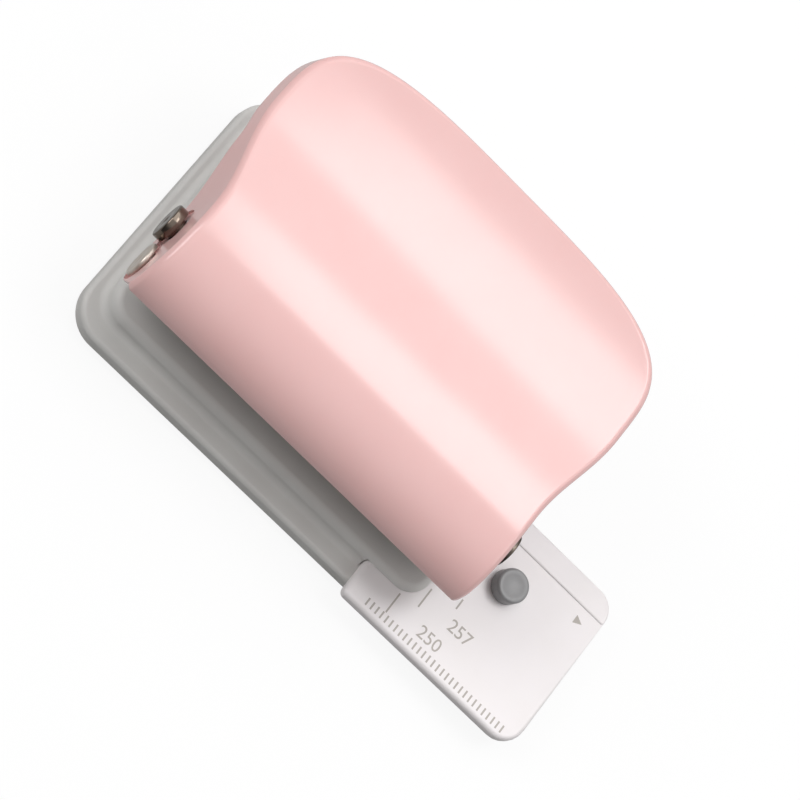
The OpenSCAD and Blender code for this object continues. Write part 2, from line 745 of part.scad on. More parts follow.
// Centre line of a spring's wire: a helix whose two ends run straight on for one wire diameter
function coil_point(t) =
    let (
        u = min(spring_turns, max(0, t)),
        run = (t - u) * rings_per_turn * wire_d,
        z = spring_low + (spring_high - spring_low) * u / spring_turns
    )
    [coil_r * cos(360 * u) - run * sin(360 * u), coil_r * sin(360 * u) + run * cos(360 * u), z];
coil_rings = spring_turns * rings_per_turn + 2;
coil_line = [for (k = [0 : coil_rings]) coil_point((k - 1) / rings_per_turn)];
coil_least_gap = min([
    for (a = [0 : coil_rings], b = [a + rings_per_turn / 2 : coil_rings]) norm(coil_line[a] - coil_line[b])
]) - wire_d;
echo(str("Least gap of a return spring to itself: ", coil_least_gap, " mm"));

// Ring of the wire at point k of the centre line, square to the wire
function wire_ring(k) =
    let (
        ahead = coil_line[min(coil_rings, k + 1)] - coil_line[max(0, k - 1)],
        along = unit(ahead),
        out = unit(cross(along, [0, 0, 1])),
        up = cross(out, along)
    )
    [
        for (s = [0 : wire_sides - 1])
            coil_line[k] + wire_d / 2 * (cos(360 * s / wire_sides) * out + sin(360 * s / wire_sides) * up)
    ];

module return_spring(i) {
    color("#b9bcc0") translate([hole_x(i), 0, 0]) polyhedron(
        [for (k = [0 : coil_rings]) each wire_ring(k)],
        concat(
            [
                for (k = [0 : coil_rings - 1], s = [0 : wire_sides - 1])
                    let (p = k * wire_sides, n = (s + 1) % wire_sides)
                    each halves([p + s, p + n, p + wire_sides + n, p + wire_sides + s])
            ],
            [for (s = [1 : wire_sides - 2]) [0, s + 1, s]],
            [for (s = [1 : wire_sides - 2]) coil_rings * wire_sides * [1, 1, 1] + [0, s, s + 1]]
        )
    );
}

module spring_washer(i) {
    color("#d0d2d4") translate([hole_x(i), 0, washer_z]) difference() {
        cylinder(r = washer_r, h = washer_t);
        translate([0, 0, -over]) cylinder(r = punch_r + fixed_gap, h = washer_t + 2 * over);
    }
}

// White plate with two arms that slide below the bed, and a raised ledge in line with the paper stop
module gauge_plate() {
    color("#f1eeee") difference() {
        union() {
            translate([0, 0, gauge_z]) linear_extrude(gauge_t) polygon(rounded([
                [gauge_left, -gauge_front, 1],
                [gauge_right, -gauge_front, gauge_corner_r],
                [gauge_right, gauge_back, 0.85 * ledge_w],
                [gauge_left, gauge_back, 0.5],
                [gauge_left, arm_rear_y, 0.5],
                [notch_x, arm_rear_y, 1],
                [notch_x, arm_front_y, 1],
                [gauge_left, arm_front_y, 0.5]
            ]));
            translate([0, 0, gauge_top]) linear_extrude(ledge_h) polygon(rounded([
                [ledge_left, edge_margin, 0.5],
                [gauge_right, edge_margin, 0.5],
                [gauge_right, gauge_back, 0.85 * ledge_w],
                [ledge_left, gauge_back, 0.5]
            ]));
        }
        translate([stud_x, 0, gauge_z - over]) cylinder(r = spigot_r + fixed_gap, h = gauge_t + 2 * over);
        for (x = [stop_pin_x - gauge_travel, stop_pin_x])
            translate([x, stop_pin_y, gauge_z - over]) cylinder(r = stop_slot_r, h = gauge_t + 2 * over);
        translate([stop_pin_x - gauge_travel, stop_pin_y - stop_slot_r, gauge_z - over])
            cube([gauge_travel, 2 * stop_slot_r, gauge_t + 2 * over]);
    }
}

// Stud that an already punched hole drops over, with a bevelled rim, a shallow dish and a spigot
module locating_stud() {
    color("#8f9091") translate([stud_x, 0, 0]) rotate_extrude() difference() {
        polygon([
            [0, gauge_z], [spigot_r, gauge_z], [spigot_r, gauge_top], [stud_r, gauge_top],
            [stud_r, gauge_top + stud_h - stud_bevel], [stud_r - stud_bevel, gauge_top + stud_h], [0, gauge_top + stud_h]
        ]);
        translate([0, gauge_top + stud_h + 4 * stud_r]) circle(4.04 * stud_r);
    }
}

// Pin below the bed that runs in the front arm's slot and holds the gauge up by its head
module gauge_stop_pin() {
    color("#c3c6c9") translate([stop_pin_x, stop_pin_y, 0]) {
        translate([0, 0, gauge_z - gauge_gap - stop_head_t]) cylinder(r = stop_head_r, h = stop_head_t);
        translate([0, 0, gauge_z - gauge_gap]) cylinder(r = stop_pin_r, h = bed_under - gauge_z + gauge_gap);
    }
}

anti_slip_pad();
chip_tray();
bed_plate();
die_strip();
left_side_plate();
right_side_plate();
frame_screws();
punch_guide();
paper_stop();
stop_screws();
pivot_pin();
pivot_clip();
handle_cover();
lever_frame();
cover_screws();
drive_rod();
drive_clip();
for (i = [1 : hole_count]) punch(i);
for (i = [1 : hole_count]) return_spring(i);
for (i = [1 : hole_count]) spring_washer(i);
gauge_plate();
locating_stud();
gauge_stop_pin();
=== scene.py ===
"""Looks of a six-hole row punch: wave handle, pressed bed, chip tray and sliding paper gauge.

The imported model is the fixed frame. Sizes here are in millimetres in that frame: x runs along the row of holes,
y from the front to the back and z up from the desk. Meshes are written in metres.
"""

from __future__ import annotations

import json
import logging
import math
from collections.abc import Callable, Iterable, Sequence
from dataclasses import dataclass
from enum import Enum

import bmesh
import bpy
from mathutils import Matrix, Vector

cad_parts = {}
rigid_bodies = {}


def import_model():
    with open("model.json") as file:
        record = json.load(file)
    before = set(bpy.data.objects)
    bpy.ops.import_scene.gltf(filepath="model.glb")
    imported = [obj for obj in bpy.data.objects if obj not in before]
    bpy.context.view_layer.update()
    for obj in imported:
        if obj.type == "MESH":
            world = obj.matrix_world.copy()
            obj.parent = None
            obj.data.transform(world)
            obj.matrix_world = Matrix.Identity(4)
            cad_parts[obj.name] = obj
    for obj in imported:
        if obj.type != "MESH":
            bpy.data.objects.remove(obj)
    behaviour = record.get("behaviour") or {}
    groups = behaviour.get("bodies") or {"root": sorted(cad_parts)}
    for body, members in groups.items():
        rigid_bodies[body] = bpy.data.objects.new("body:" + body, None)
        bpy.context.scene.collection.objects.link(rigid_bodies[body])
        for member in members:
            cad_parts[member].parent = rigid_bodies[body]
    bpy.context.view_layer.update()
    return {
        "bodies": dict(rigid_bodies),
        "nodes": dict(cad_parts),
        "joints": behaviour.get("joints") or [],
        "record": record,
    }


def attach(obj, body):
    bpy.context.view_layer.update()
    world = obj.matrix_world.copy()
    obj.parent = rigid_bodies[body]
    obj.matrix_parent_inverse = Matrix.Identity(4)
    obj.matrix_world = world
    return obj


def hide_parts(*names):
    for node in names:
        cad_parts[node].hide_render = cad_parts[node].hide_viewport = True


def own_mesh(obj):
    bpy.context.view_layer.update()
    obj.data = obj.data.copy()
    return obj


LOG = logging.getLogger("row_punch")

Point = tuple[float, float, float]
Profile = list[tuple[float, float]]
Mesh = bpy.types.Mesh
Piece = bpy.types.Object
Tree = bpy.types.NodeTree
Socket = bpy.types.NodeSocket

MM = 0.001
WHITE = (1.0, 1.0, 1.0, 1.0)
SIDES = (-1, 1)
# Faces of a box whose corners run over x first, then over y, then over z
BOX_FACES = ((0, 1, 3, 2), (4, 5, 7, 6), (0, 1, 5, 4), (2, 3, 7, 6), (0, 2, 6, 4), (1, 3, 7, 5))
# Kinds of input of a geometry tree, by the type of the value that the input gets
SOCKETS = {int: "NodeSocketInt", float: "NodeSocketFloat", tuple: "NodeSocketVector", Piece: "NodeSocketObject"}

# Axes of the pivot pin and of the drive rod, in y and z
PIVOT_AXIS = (-7.2, 16.4)
ROD_AXIS = (-0.825, 18.108)

# Parts of the noises' range over which the tone and the roughness change
PATCH_RANGE = (0.35, 0.65)
GRAIN_RANGE = (0.25, 0.75)
PATCH_DETAIL = 3.0
GRAIN_DETAIL = 2.0
# A wave texture turns by 20 radians over one unit of its scale
WAVE_RATE = 20.0
WAVE_DISTORTION = 1.5
# How deep red, green and blue light enters a moulded plastic
SOFT_RADIUS = (1.0, 0.45, 0.4)
SOFT_DEPTH = 1.2

# Metres within which corners are one, for a shape made here and for a node's triangles
SAME_MADE = 2e-7
SAME_NODE = 1e-6
# Faces that turn less than this are one face, and edges that turn more are rounded, in degrees
FLAT_DEG = 0.4
ROUNDED_DEG = 40.0
# How far large faces lead in the shading of rounded edges
FLAT_WEIGHT = 90


class Body(Enum):
    """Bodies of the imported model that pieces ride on."""

    TRAY = "tray"
    BASE = "base"
    HANDLE = "handle"
    PUNCHES = "punches"
    GAUGE = "gauge"


class Working(Enum):
    """How a surface was made. The value stretches the grain along x, y and z; a turned surface has rings instead."""

    EVEN = (1.0, 1.0, 1.0)
    ROLLED = (0.04, 1.0, 1.0)
    DRAWN = (1.0, 1.0, 0.06)
    TURNED = None


def linear(code: str) -> tuple[float, float, float, float]:
    """Turns an sRGB hex colour into linear red, green, blue and alpha."""
    parts = [int(code[i : i + 2], 16) / 255 for i in (1, 3, 5)]
    return (*(c / 12.92 if c <= 0.04045 else ((c + 0.055) / 1.055) ** 2.4 for c in parts), 1.0)


def metres(*lengths: float) -> tuple[float, ...]:
    """Turns millimetres into metres."""
    return tuple(c * MM for c in lengths)


def per_metre(size: float) -> float:
    """Texture scale at which one feature of a pattern is size millimetres wide."""
    return 1 / (size * MM)


def add_node(tree: Tree, kind: str, inputs: dict | None = None, **settings: object) -> bpy.types.Node:
    """Adds a node to a tree.

    Args:
        tree: The shader or geometry tree.
        kind: The node's type name.
        inputs: Values or output sockets, by input name or number; an output socket is linked.
        settings: The node's own properties.

    Returns:
        The new node.
    """
    node = tree.nodes.new(kind)
    for name, value in settings.items():
        setattr(node, name, value)
    for key, value in (inputs or {}).items():
        if isinstance(value, Socket):
            tree.links.new(value, node.inputs[key])
        else:
            node.inputs[key].default_value = value
    return node


def empty_tree(owner: bpy.types.Material | bpy.types.World) -> Tree:
    """Switches a material or a world to nodes and clears its tree."""
    owner.use_nodes = True
    owner.node_tree.nodes.clear()
    return owner.node_tree


def maths(tree: Tree, operation: str, *values: object) -> Socket:
    """Adds a calculation with values or sockets and gives its result."""
    return add_node(tree, "ShaderNodeMath", dict(enumerate(values)), operation=operation).outputs["Value"]


def noise(tree: Tree, place: Socket, size: float, detail: float) -> Socket:
    """Adds a noise whose features are size millimetres wide."""
    inputs = {"Vector": place, "Scale": per_metre(size), "Detail": detail}
    return add_node(tree, "ShaderNodeTexNoise", inputs).outputs["Fac"]


def blend(tree: Tree, share: Socket, low: object, high: object) -> Socket:
    """Adds a mix of two colours, given as tuples, or of two values.

    Args:
        tree: The shader tree.
        share: 0 for the first and 1 for the second.
        low: The first colour, value or socket.
        high: The second one.

    Returns:
        The mixed colour or value.
    """
    kind, first, result = ("RGBA", 6, 2) if isinstance(low, tuple) else ("FLOAT", 2, 0)
    return add_node(tree, "ShaderNodeMix", {0: share, first: low, first + 1: high}, data_type=kind).outputs[result]


def map_range(
    tree: Tree, value: Socket, before: Sequence, after: Sequence = (0.0, 1.0), way: str = "LINEAR"
) -> Socket:
    """Adds a step that carries a value from one range over to another.

    Args:
        tree: The shader or geometry tree.
        value: The value.
        before: Its range, as numbers or sockets.
        after: The range that it gets.
        way: The node's interpolation.

    Returns:
        The new value.
    """
    names = ("From Min", "From Max", "To Min", "To Max")
    inputs = {"Value": value, **dict(zip(names, (*before, *after)))}
    return add_node(tree, "ShaderNodeMapRange", inputs, interpolation_type=way).outputs["Result"]


@dataclass(frozen=True)
class Finish:
    """A surface finish, named for its material and for the way it was made.

    Two close tones lie in soft patches, the roughness wanders by its spread, and soft is the share of the light that
    enters the surface. A turned finish has its rings round a centre, in y and z.
    """

    name: str
    colour: str
    tint: str
    roughness: float
    spread: float
    grain_mm: float
    depth_mm: float
    patch_mm: float = 9.0
    metallic: float = 0.0
    soft: float = 0.0
    working: Working = Working.EVEN
    centre: tuple[float, float] = (0.0, 0.0)

    def material(self) -> bpy.types.Material:
        """Builds the material once and returns it afterwards.

        Returns:
            A node material on Object coordinates: two close tones in soft patches, a roughness that wanders, and
            the grain of the working as a bump.
        """
        made = bpy.data.materials.get(self.name)
        if made is not None:
            return made
        made = bpy.data.materials.new(self.name)
        tree = empty_tree(made)
        place = add_node(tree, "ShaderNodeTexCoord").outputs["Object"]
        patches = map_range(tree, noise(tree, place, self.patch_mm, PATCH_DETAIL), PATCH_RANGE)
        grain = self._grain(tree, place)
        gloss = (self.roughness - self.spread, self.roughness + self.spread)
        bump = add_node(tree, "ShaderNodeBump", {"Height": grain, "Strength": 1.0, "Distance": self.depth_mm * MM})
        shader = add_node(
            tree,
            "ShaderNodeBsdfPrincipled",
            {
                "Base Color": blend(tree, patches, linear(self.colour), linear(self.tint)),
                "Roughness": map_range(tree, grain, GRAIN_RANGE, gloss),
                "Normal": bump.outputs["Normal"],
                "Metallic": self.metallic,
                "Subsurface Weight": self.soft,
                "Subsurface Radius": SOFT_RADIUS,
                "Subsurface Scale": SOFT_DEPTH * MM,
            },
        )
        add_node(tree, "ShaderNodeOutputMaterial", {"Surface": shader.outputs["BSDF"]})
        return made

    def _grain(self, tree: Tree, place: Socket) -> Socket:
        """Adds the grain of the working.

        Args:
            tree: The material's tree.
            place: Object coordinates.

        Returns:
            The height of the grain, from 0 to 1.
        """
        if self.working is not Working.TURNED:
            along = add_node(tree, "ShaderNodeMapping", {"Vector": place, "Scale": self.working.value})
            return noise(tree, along.outputs["Vector"], self.grain_mm, GRAIN_DETAIL)
        y, z = self.centre
        centred = add_node(tree, "ShaderNodeMapping", {"Vector": place, "Location": metres(0.0, -y, -z)})
        inputs = {
            "Vector": centred.outputs["Vector"],
            "Scale": per_metre(self.grain_mm) / WAVE_RATE,
            "Distortion": WAVE_DISTORTION,
            "Detail": GRAIN_DETAIL,
        }
        return add_node(tree, "ShaderNodeTexWave", inputs, wave_type="RINGS", rings_direction="X").outputs["Fac"]


class Finishes(Enum):
    """The finishes of this punch."""

    # Injection-moulded ABS from a polished mould: pale pink, soft wide highlights, the faintest orange peel
    COVER = Finish("polished_abs_pale_pink", "#F3C6C3", "#F2C4C1", 0.15, 0.012, 2.6, 0.0008, soft=0.04)
    # Grey powder coat on pressed steel: even satin sheen with a fine pebble, drawn coarser than it is so that it shows
    BED = Finish("powder_coated_steel_grey", "#DAD9D6", "#D6D4D1", 0.5, 0.05, 0.5, 0.008)
    # Moulded polypropylene, a darker grey with the waxy look of an eroded mould
    TRAY = Finish("moulded_polypropylene_grey", "#84878A", "#7F8285", 0.55, 0.06, 0.45, 0.01)
    # Moulded ABS from an eroded mould: cold white and silky
    GAUGE = Finish("moulded_abs_white", "#F1ECED", "#EFEAEA", 0.42, 0.05, 0.5, 0.004)
    # Moulded nylon, mid grey, as silky as the gauge
    STUD = Finish("moulded_nylon_grey", "#8E8E8F", "#8A8A8B", 0.4, 0.04, 0.4, 0.004)
    # Cast thermoplastic rubber: dark, nearly matt
    PAD = Finish("thermoplastic_rubber_charcoal", "#3C3D3E", "#343536", 0.8, 0.06, 0.35, 0.015)
    # Dull nickel plate on turned steel: cloudy beige with rings of the turning tool
    PIVOT = Finish(
        "nickel_plated_turned_steel", "#D6CCC2", "#C6BBB0", 0.36, 0.06, 0.22, 0.003,
        metallic=0.6, working=Working.TURNED, centre=PIVOT_AXIS,
    )
    # Oiled turned steel, coloured dark brown all over to paint the shade on its head and neck in the cover's recess;
    # the bright streak along the head's rim is a real reflection of the lamps
    ROD = Finish(
        "turned_steel_painted_shade", "#82776D", "#6E635A", 0.17, 0.06, 0.22, 0.003,
        metallic=1.0, working=Working.TURNED, centre=ROD_AXIS,
    )
    # Cold-rolled strip, zinc plated: faint lines along the rolling direction
    PLATE = Finish(
        "zinc_plated_rolled_steel", "#B4B6B7", "#A5A7A9", 0.34, 0.08, 0.3, 0.003, metallic=1.0, working=Working.ROLLED
    )
    # Centreless-ground tool steel: bright, with a fine even grain
    PUNCH = Finish("ground_tool_steel", "#C6C8CA", "#B8BABC", 0.22, 0.06, 0.2, 0.002, metallic=1.0)
    # Hardened spring steel under a thin brown oil film
    SPRING = Finish(
        "oiled_spring_steel", "#5A524B", "#4C453F", 0.32, 0.07, 0.3, 0.002, metallic=1.0, working=Working.DRAWN
    )
    # Die-cast zinc, tumbled: cloudy and slightly pebbled
    CAST = Finish("tumbled_zinc_casting", "#A9ABAD", "#999B9E", 0.45, 0.08, 0.6, 0.01, metallic=1.0)
    # Pad-printed ink: a thin dry grey film
    INK = Finish("pad_printed_ink_grey", "#BBB4AE", "#B4ADA7", 0.6, 0.05, 0.4, 0.002)


def new_piece(name: str, data: bpy.types.ID) -> Piece:
    """Links a mesh, text, lamp or camera to the scene as an object at the origin."""
    piece = bpy.data.objects.new(name, data)
    bpy.context.scene.collection.objects.link(piece)
    return piece


def solid(name: str, points: Iterable[Point], faces: Iterable[Sequence[int]]) -> Piece:
    """Makes a piece whose doubles are merged and whose faces point outwards.

    Args:
        name: The piece's name.
        points: Corners in millimetres.
        faces: Corner numbers of each face.

    Returns:
        The piece, in metres.
    """
    mesh = bpy.data.meshes.new(name)
    mesh.from_pydata([metres(*p) for p in points], [], [tuple(f) for f in faces])
    shape = bmesh.new()
    shape.from_mesh(mesh)
    bmesh.ops.remove_doubles(shape, verts=shape.verts, dist=SAME_MADE)
    bmesh.ops.dissolve_degenerate(shape, edges=shape.edges, dist=SAME_MADE)
    bmesh.ops.recalc_face_normals(shape, faces=shape.faces)
    shape.to_mesh(mesh)
    shape.free()
    return new_piece(name, mesh)


def baked(piece: Piece) -> Mesh:
    """Plain mesh of an object as its modifiers leave it."""
    graph = bpy.context.evaluated_depsgraph_get()
    return bpy.data.meshes.new_from_object(piece.evaluated_get(graph))


def bake(piece: Piece) -> Piece:
    """Turns a piece's modifiers into a plain mesh."""
    mesh = baked(piece)
    piece.modifiers.clear()
    piece.data = mesh
    return piece


def settle(piece: Piece, sharp_deg: float = 35.0) -> Piece:
    """Turns a piece's modifiers into a plain mesh and shades it smooth up to an angle.

    Args:
        piece: The object with its modifiers.
        sharp_deg: Angle above which an edge stays sharp.

    Returns:
        The same object, with no modifier left.
    """
    if piece.modifiers:
        bake(piece)
    piece.data.shade_smooth()
    piece.data.set_sharp_from_angle(angle=math.radians(sharp_deg))
    flat = piece.modifiers.new("flat faces lead", "WEIGHTED_NORMAL")
    flat.keep_sharp = True
    flat.weight = FLAT_WEIGHT
    return bake(piece)


def cut(piece: Piece, cutters: Sequence[Piece]) -> Piece:
    """Takes closed shapes away from a piece, and removes those shapes.

    Args:
        piece: The object to cut.
        cutters: Closed objects.

    Returns:
        The same object, with a plain cut mesh.
    """
    for number, cutter in enumerate(cutters):
        boolean = piece.modifiers.new(f"cut {number}", "BOOLEAN")
        boolean.object = cutter
        boolean.operation = "DIFFERENCE"
        boolean.solver = "EXACT"
    bake(piece)
    for cutter in cutters:
        bpy.data.objects.remove(cutter)
    return piece


def turned(name: str, profile: Profile, centre: Point, axis: str, steps: int = 64) -> Piece:
    """Turns a profile about an axis.

    Args:
        name: The piece's name.
        profile: Distance along the axis and radius of each point.
        centre: A point on the axis; the profile counts from it.
        axis: "x" or "z".
        steps: Steps in a turn.

    Returns:
        The turned piece.
    """
    points = []
    for along, radius in profile:
        for s in range(steps):
            a = 2 * math.pi * s / steps
            u, v = radius * math.cos(a), radius * math.sin(a)
            offset = (along, u, v) if axis == "x" else (u, v, along)
            points.append(tuple(c + o for c, o in zip(centre, offset)))
    return solid(name, points, bands(len(profile), steps))


def bands(rows: int, count: int) -> list[tuple[int, int, int, int]]:
    """Faces between rows of points, each row a closed ring of count points."""
    return [
        (k * count + i, k * count + (i + 1) % count, (k + 1) * count + (i + 1) % count, (k + 1) * count + i)
        for k in range(rows - 1)
        for i in range(count)
    ]


def arc(centre: tuple[float, float], radius: float, start: float, end: float, steps: int) -> Profile:
    """Points of an arc between two angles in degrees."""
    turns = [math.radians(start + (end - start) * k / steps) for k in range(steps + 1)]
    return [(centre[0] + radius * math.cos(a), centre[1] + radius * math.sin(a)) for a in turns]


def softened(
    frame: dict, node: str, width: float, segments: int = 3, share: Callable[[Vector, Vector], float] | None = None
) -> Piece:
    """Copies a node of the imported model, joins its triangles and rounds its sharp outer edges.

    Args:
        frame: The loaded frame.
        node: The node's name.
        width: Width of the rounding in millimetres.
        segments: Steps of the rounding.
        share: Called with an edge's ends in millimetres; gives the part of the width that the edge gets.

    Returns:
        A piece that stands where the node is.
    """
    source = frame["nodes"][node].data
    mesh = bpy.data.meshes.new(f"{node}_soft")
    mesh.from_pydata([tuple(v.co) for v in source.vertices], [], [tuple(p.vertices) for p in source.polygons])
    shape = bmesh.new()
    shape.from_mesh(mesh)
    bmesh.ops.remove_doubles(shape, verts=shape.verts, dist=SAME_NODE)
    bmesh.ops.dissolve_limit(shape, angle_limit=math.radians(FLAT_DEG), verts=shape.verts, edges=shape.edges)
    weight = shape.edges.layers.float.new("bevel_weight_edge")
    for edge in shape.edges:
        if edge.is_convex and edge.calc_face_angle(0.0) > math.radians(ROUNDED_DEG):
            edge[weight] = share(*(v.co / MM for v in edge.verts)) if share else 1.0
    shape.to_mesh(mesh)
    shape.free()
    piece = new_piece(f"{node}_finished", mesh)
    bevel = piece.modifiers.new("rounded edges", "BEVEL")
    bevel.width = width * MM
    bevel.segments = segments
    bevel.limit_method = "WEIGHT"
    bevel.use_clamp_overlap = False
    return settle(piece)


def dress(piece: Piece, finish: Finishes, body: Body, slot: str, *nodes: str) -> Piece:
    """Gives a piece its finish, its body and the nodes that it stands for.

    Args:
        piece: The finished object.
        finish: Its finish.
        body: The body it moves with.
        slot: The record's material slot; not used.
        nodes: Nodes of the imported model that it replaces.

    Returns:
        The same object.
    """
    piece.data.materials.clear()
    piece.data.materials.append(finish.value.material())
    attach(piece, body.value)
    if nodes:
        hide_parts(*nodes)
    LOG.info("%s rides on %s, %d faces", piece.name, body.value, len(piece.data.polygons))
    return piece


def refinish(
    frame: dict, node: str, width: float, finish: Finishes, body: Body, slot: str, segments: int = 3
) -> None:
    """Dresses a copy of a node, with its edges rounded, in that node's place.

    Args:
        frame: The loaded frame.
        node: The node's name.
        width: Width of the rounding in millimetres.
        finish: The copy's finish.
        body: The body it moves with.
        slot: The record's material slot.
        segments: Steps of the rounding.
    """
    dress(softened(frame, node, width, segments), finish, body, slot, node)


def grown(
    name: str, inputs: dict[str, object], build: Callable[[Tree, bpy.types.NodeOutputs], Socket], finish: Finishes
) -> Piece:
    """Makes a piece with a geometry tree and turns it into a plain mesh.

    Args:
        name: The piece's name.
        inputs: The tree's named inputs with their values.
        build: Called with the tree and its inputs' sockets; returns the geometry socket.
        finish: The finish that the tree sets.

    Returns:
        The piece, with no modifier left.
    """
    tree = bpy.data.node_groups.new(name, "GeometryNodeTree")
    tree.interface.new_socket("Geometry", in_out="OUTPUT", socket_type="NodeSocketGeometry")
    keys = {
        key: tree.interface.new_socket(key, in_out="INPUT", socket_type=SOCKETS[type(value)]).identifier
        for key, value in inputs.items()
    }
    shape = build(tree, add_node(tree, "NodeGroupInput").outputs)
    real = add_node(tree, "GeometryNodeRealizeInstances", {"Geometry": shape}).outputs["Geometry"]
    painted = add_node(tree, "GeometryNodeSetMaterial", {"Geometry": real, "Material": finish.value.material()})
    add_node(tree, "NodeGroupOutput", {"Geometry": painted.outputs["Geometry"]})
    piece = new_piece(name, bpy.data.meshes.new(name))
    modifier = piece.modifiers.new(name, "NODES")
    modifier.node_group = tree
    for key, value in inputs.items():
        modifier[keys[key]] = value
    return settle(piece)


def repeated(tree: Tree, points: Socket, shape: Socket) -> Socket:
    """Adds a copy of a shape at every point."""
    row = add_node(tree, "GeometryNodeInstanceOnPoints", {"Points": points, "Instance": shape})
    return row.outputs["Instances"]


def repeated_in_line(tree: Tree, given: bpy.types.NodeOutputs, shape: Socket) -> Socket:
    """Adds a row of copies of a shape, set out by the tree's inputs Count, Start and Step."""
    inputs = {"Count": given["Count"], "Start Location": given["Start"], "Offset": given["Step"]}
    return repeated(tree, add_node(tree, "GeometryNodeMeshLine", inputs).outputs["Mesh"], shape)


@dataclass
class Station:
    """One cross-section of the handle: a rule for its points, and how far its rim is curled in."""

    place: Callable[[float, float], Point]
    curl: float = 0.0


@dataclass
class WaveHandle:
    """Pale cover over the steel lever: a brow at the front, a crest, a palm hollow and a flared rear lip."""

    front: float = 13.0
    back: float = 37.8
    brow_z: float = 18.8
    crest_z: float = 27.9
    crest_y: float = 2.0
    hollow_y: float = 20.0
    hollow_depth: float = 1.0
    rear_lift: float = 2.8
    waist_half: float = 33.05
    front_flare: float = 0.65
    rear_flare: float = 3.1
    flare_y: float = 21.5
    tail_power: float = 3.6
    edge_r: float = 0.8
    edge_flat: float = 0.6
    wall_t: float = 1.5
    top_t: float = 2.0
    draft_deg: float = 3.0
    lip_draft_deg: float = 7.0
    lip_h: float = 5.2
    low_z: float = 12.4
    low_deg: float = 30.0
    ear_back: float = 0.175
    lip_from: float = 13.0
    lip_to: float = 19.5
    rim_r: float = 0.4
    rim_share: float = 0.4
    recess_from: float = 33.2
    recess_to: float = 38.0
    recess_r: float = 3.7
    hole_from: float = 30.0
    hole_to: float = 36.0
    hole_r: float = 1.95
    boss_r: float = 3.25
    boss_x: float = 19.0
    boss_y: float = 20.5
    boss_z: float = 24.3
    boss_chamfer: float = 0.2
    screw_r: float = 1.3
    screw_depth: float = 1.6
    curl_steps: int = 5
    brow_steps: int = 36
    wave_steps: int = 48
    tail_steps: int = 60
    tail_samples: int = 4000
    edge_steps: int = 8
    rim_steps: int = 4
    across: tuple[float, ...] = (0.0, 0.3, 0.6, 0.9, 0.985)
    outer_shares: tuple[float, ...] = (0.96, 0.75, 0.5, 0.25)
    inner_shares: tuple[float, ...] = (0.25, 0.5, 0.75)
    boss_steps: int = 48
    hole_steps: int = 72
    sharp_deg: float = 30.0

    def wave_z(self, y: float) -> float:
        """Height of the top at y, behind the brow."""
        if y < self.crest_y:
            return self.crest_z
        if y < self.hollow_y:
            turn = math.pi * (y - self.crest_y) / (self.hollow_y - self.crest_y)
            return self.crest_z - self.hollow_depth * (1 - math.cos(turn)) / 2
        turn = math.pi / 2 * (y - self.hollow_y) / (self.back - self.hollow_y)
        return self.crest_z - self.hollow_depth + self.rear_lift * (1 - math.cos(turn))

    def half_width(self, y: float) -> float:
        """Half the cover's width at y, ahead of the widest place."""
        if y < self.crest_y:
            return self.waist_half + self.front_flare * ((self.crest_y - y) / (self.crest_y + self.front)) ** 2
        turn = math.pi * (y - self.crest_y) / (self.flare_y - self.crest_y)
        return self.waist_half + self.rear_flare * (1 - math.cos(turn)) / 2

    def low_edge(self, y: float) -> float:
        """Height of the side walls' lower edge at y: down from the brow, round the front pin, level, then up."""
        pin_y, pin_z = PIVOT_AXIS
        ear_r = pin_z - self.low_z
        start = self.edge_r - self.front
        fall, run = self.brow_z - pin_z, pin_y - start
        steep = math.atan2(fall, run) + math.asin(ear_r / math.hypot(fall, run))
        if y < pin_y - ear_r * math.sin(steep):
            return self.brow_z - max(0.0, y - start) * math.tan(steep)
        if y < pin_y:
            return pin_z - math.sqrt(ear_r**2 - (pin_y - y) ** 2)
        slope = self.low_z + max(0.0, y - self.ear_back) * math.tan(math.radians(self.low_deg))
        share = self.ease((y - self.lip_from) / (self.lip_to - self.lip_from))
        return slope * (1 - share) + (self.wave_z(y) - self.lip_h) * share

    @staticmethod
    def ease(t: float) -> float:
        """Smooth step from 0 to 1."""
        t = min(1.0, max(0.0, t))
        return t * t * (3 - 2 * t)

    def draft(self, y: float) -> float:
        """How far the side wall leans out for each millimetre down: little beside the pins, more at the rear lip."""
        share = self.ease((y - self.ear_back) / (self.lip_to - self.ear_back))
        return math.tan(math.radians(self.draft_deg + (self.lip_draft_deg - self.draft_deg) * share))

    def on_brow(self, a: float, z_up: float | None = None) -> Callable[[float, float], Point]:
        """Rule for the section of the brow at the angle a, or for a part of its curled rim at a given height."""

        def place(inset: float, drop: float) -> Point:
            """Half width, y and height of a point moved in by inset and down by drop."""
            y = self.crest_y - (self.crest_y + self.front - drop) * math.cos(a)
            z = self.brow_z + (self.crest_z - self.brow_z - drop) * math.sin(a) if z_up is None else z_up
            return self.half_width(y) - inset, y, z

        return place

    def on_wave(self, y: float) -> Callable[[float, float], Point]:
        """Rule for the section at y, between the crest and the widest place."""
        return lambda inset, drop: (self.half_width(y) - inset, y, self.wave_z(y) - drop)

    def on_tail(self, t: float) -> Callable[[float, float], Point]:
        """Rule for the section at the angle t of the rear outline's rounding."""
        power = 2 / self.tail_power
        wide, far = max(0.0, math.cos(t)) ** power, math.sin(t) ** power

        def place(inset: float, drop: float) -> Point:
            """Half width, y and height of a point moved in by inset and down by drop."""
            y = self.flare_y + (self.back - self.flare_y - inset) * far
            return (self.waist_half + self.rear_flare - inset) * wide, y, self.wave_z(y) - drop

        return place

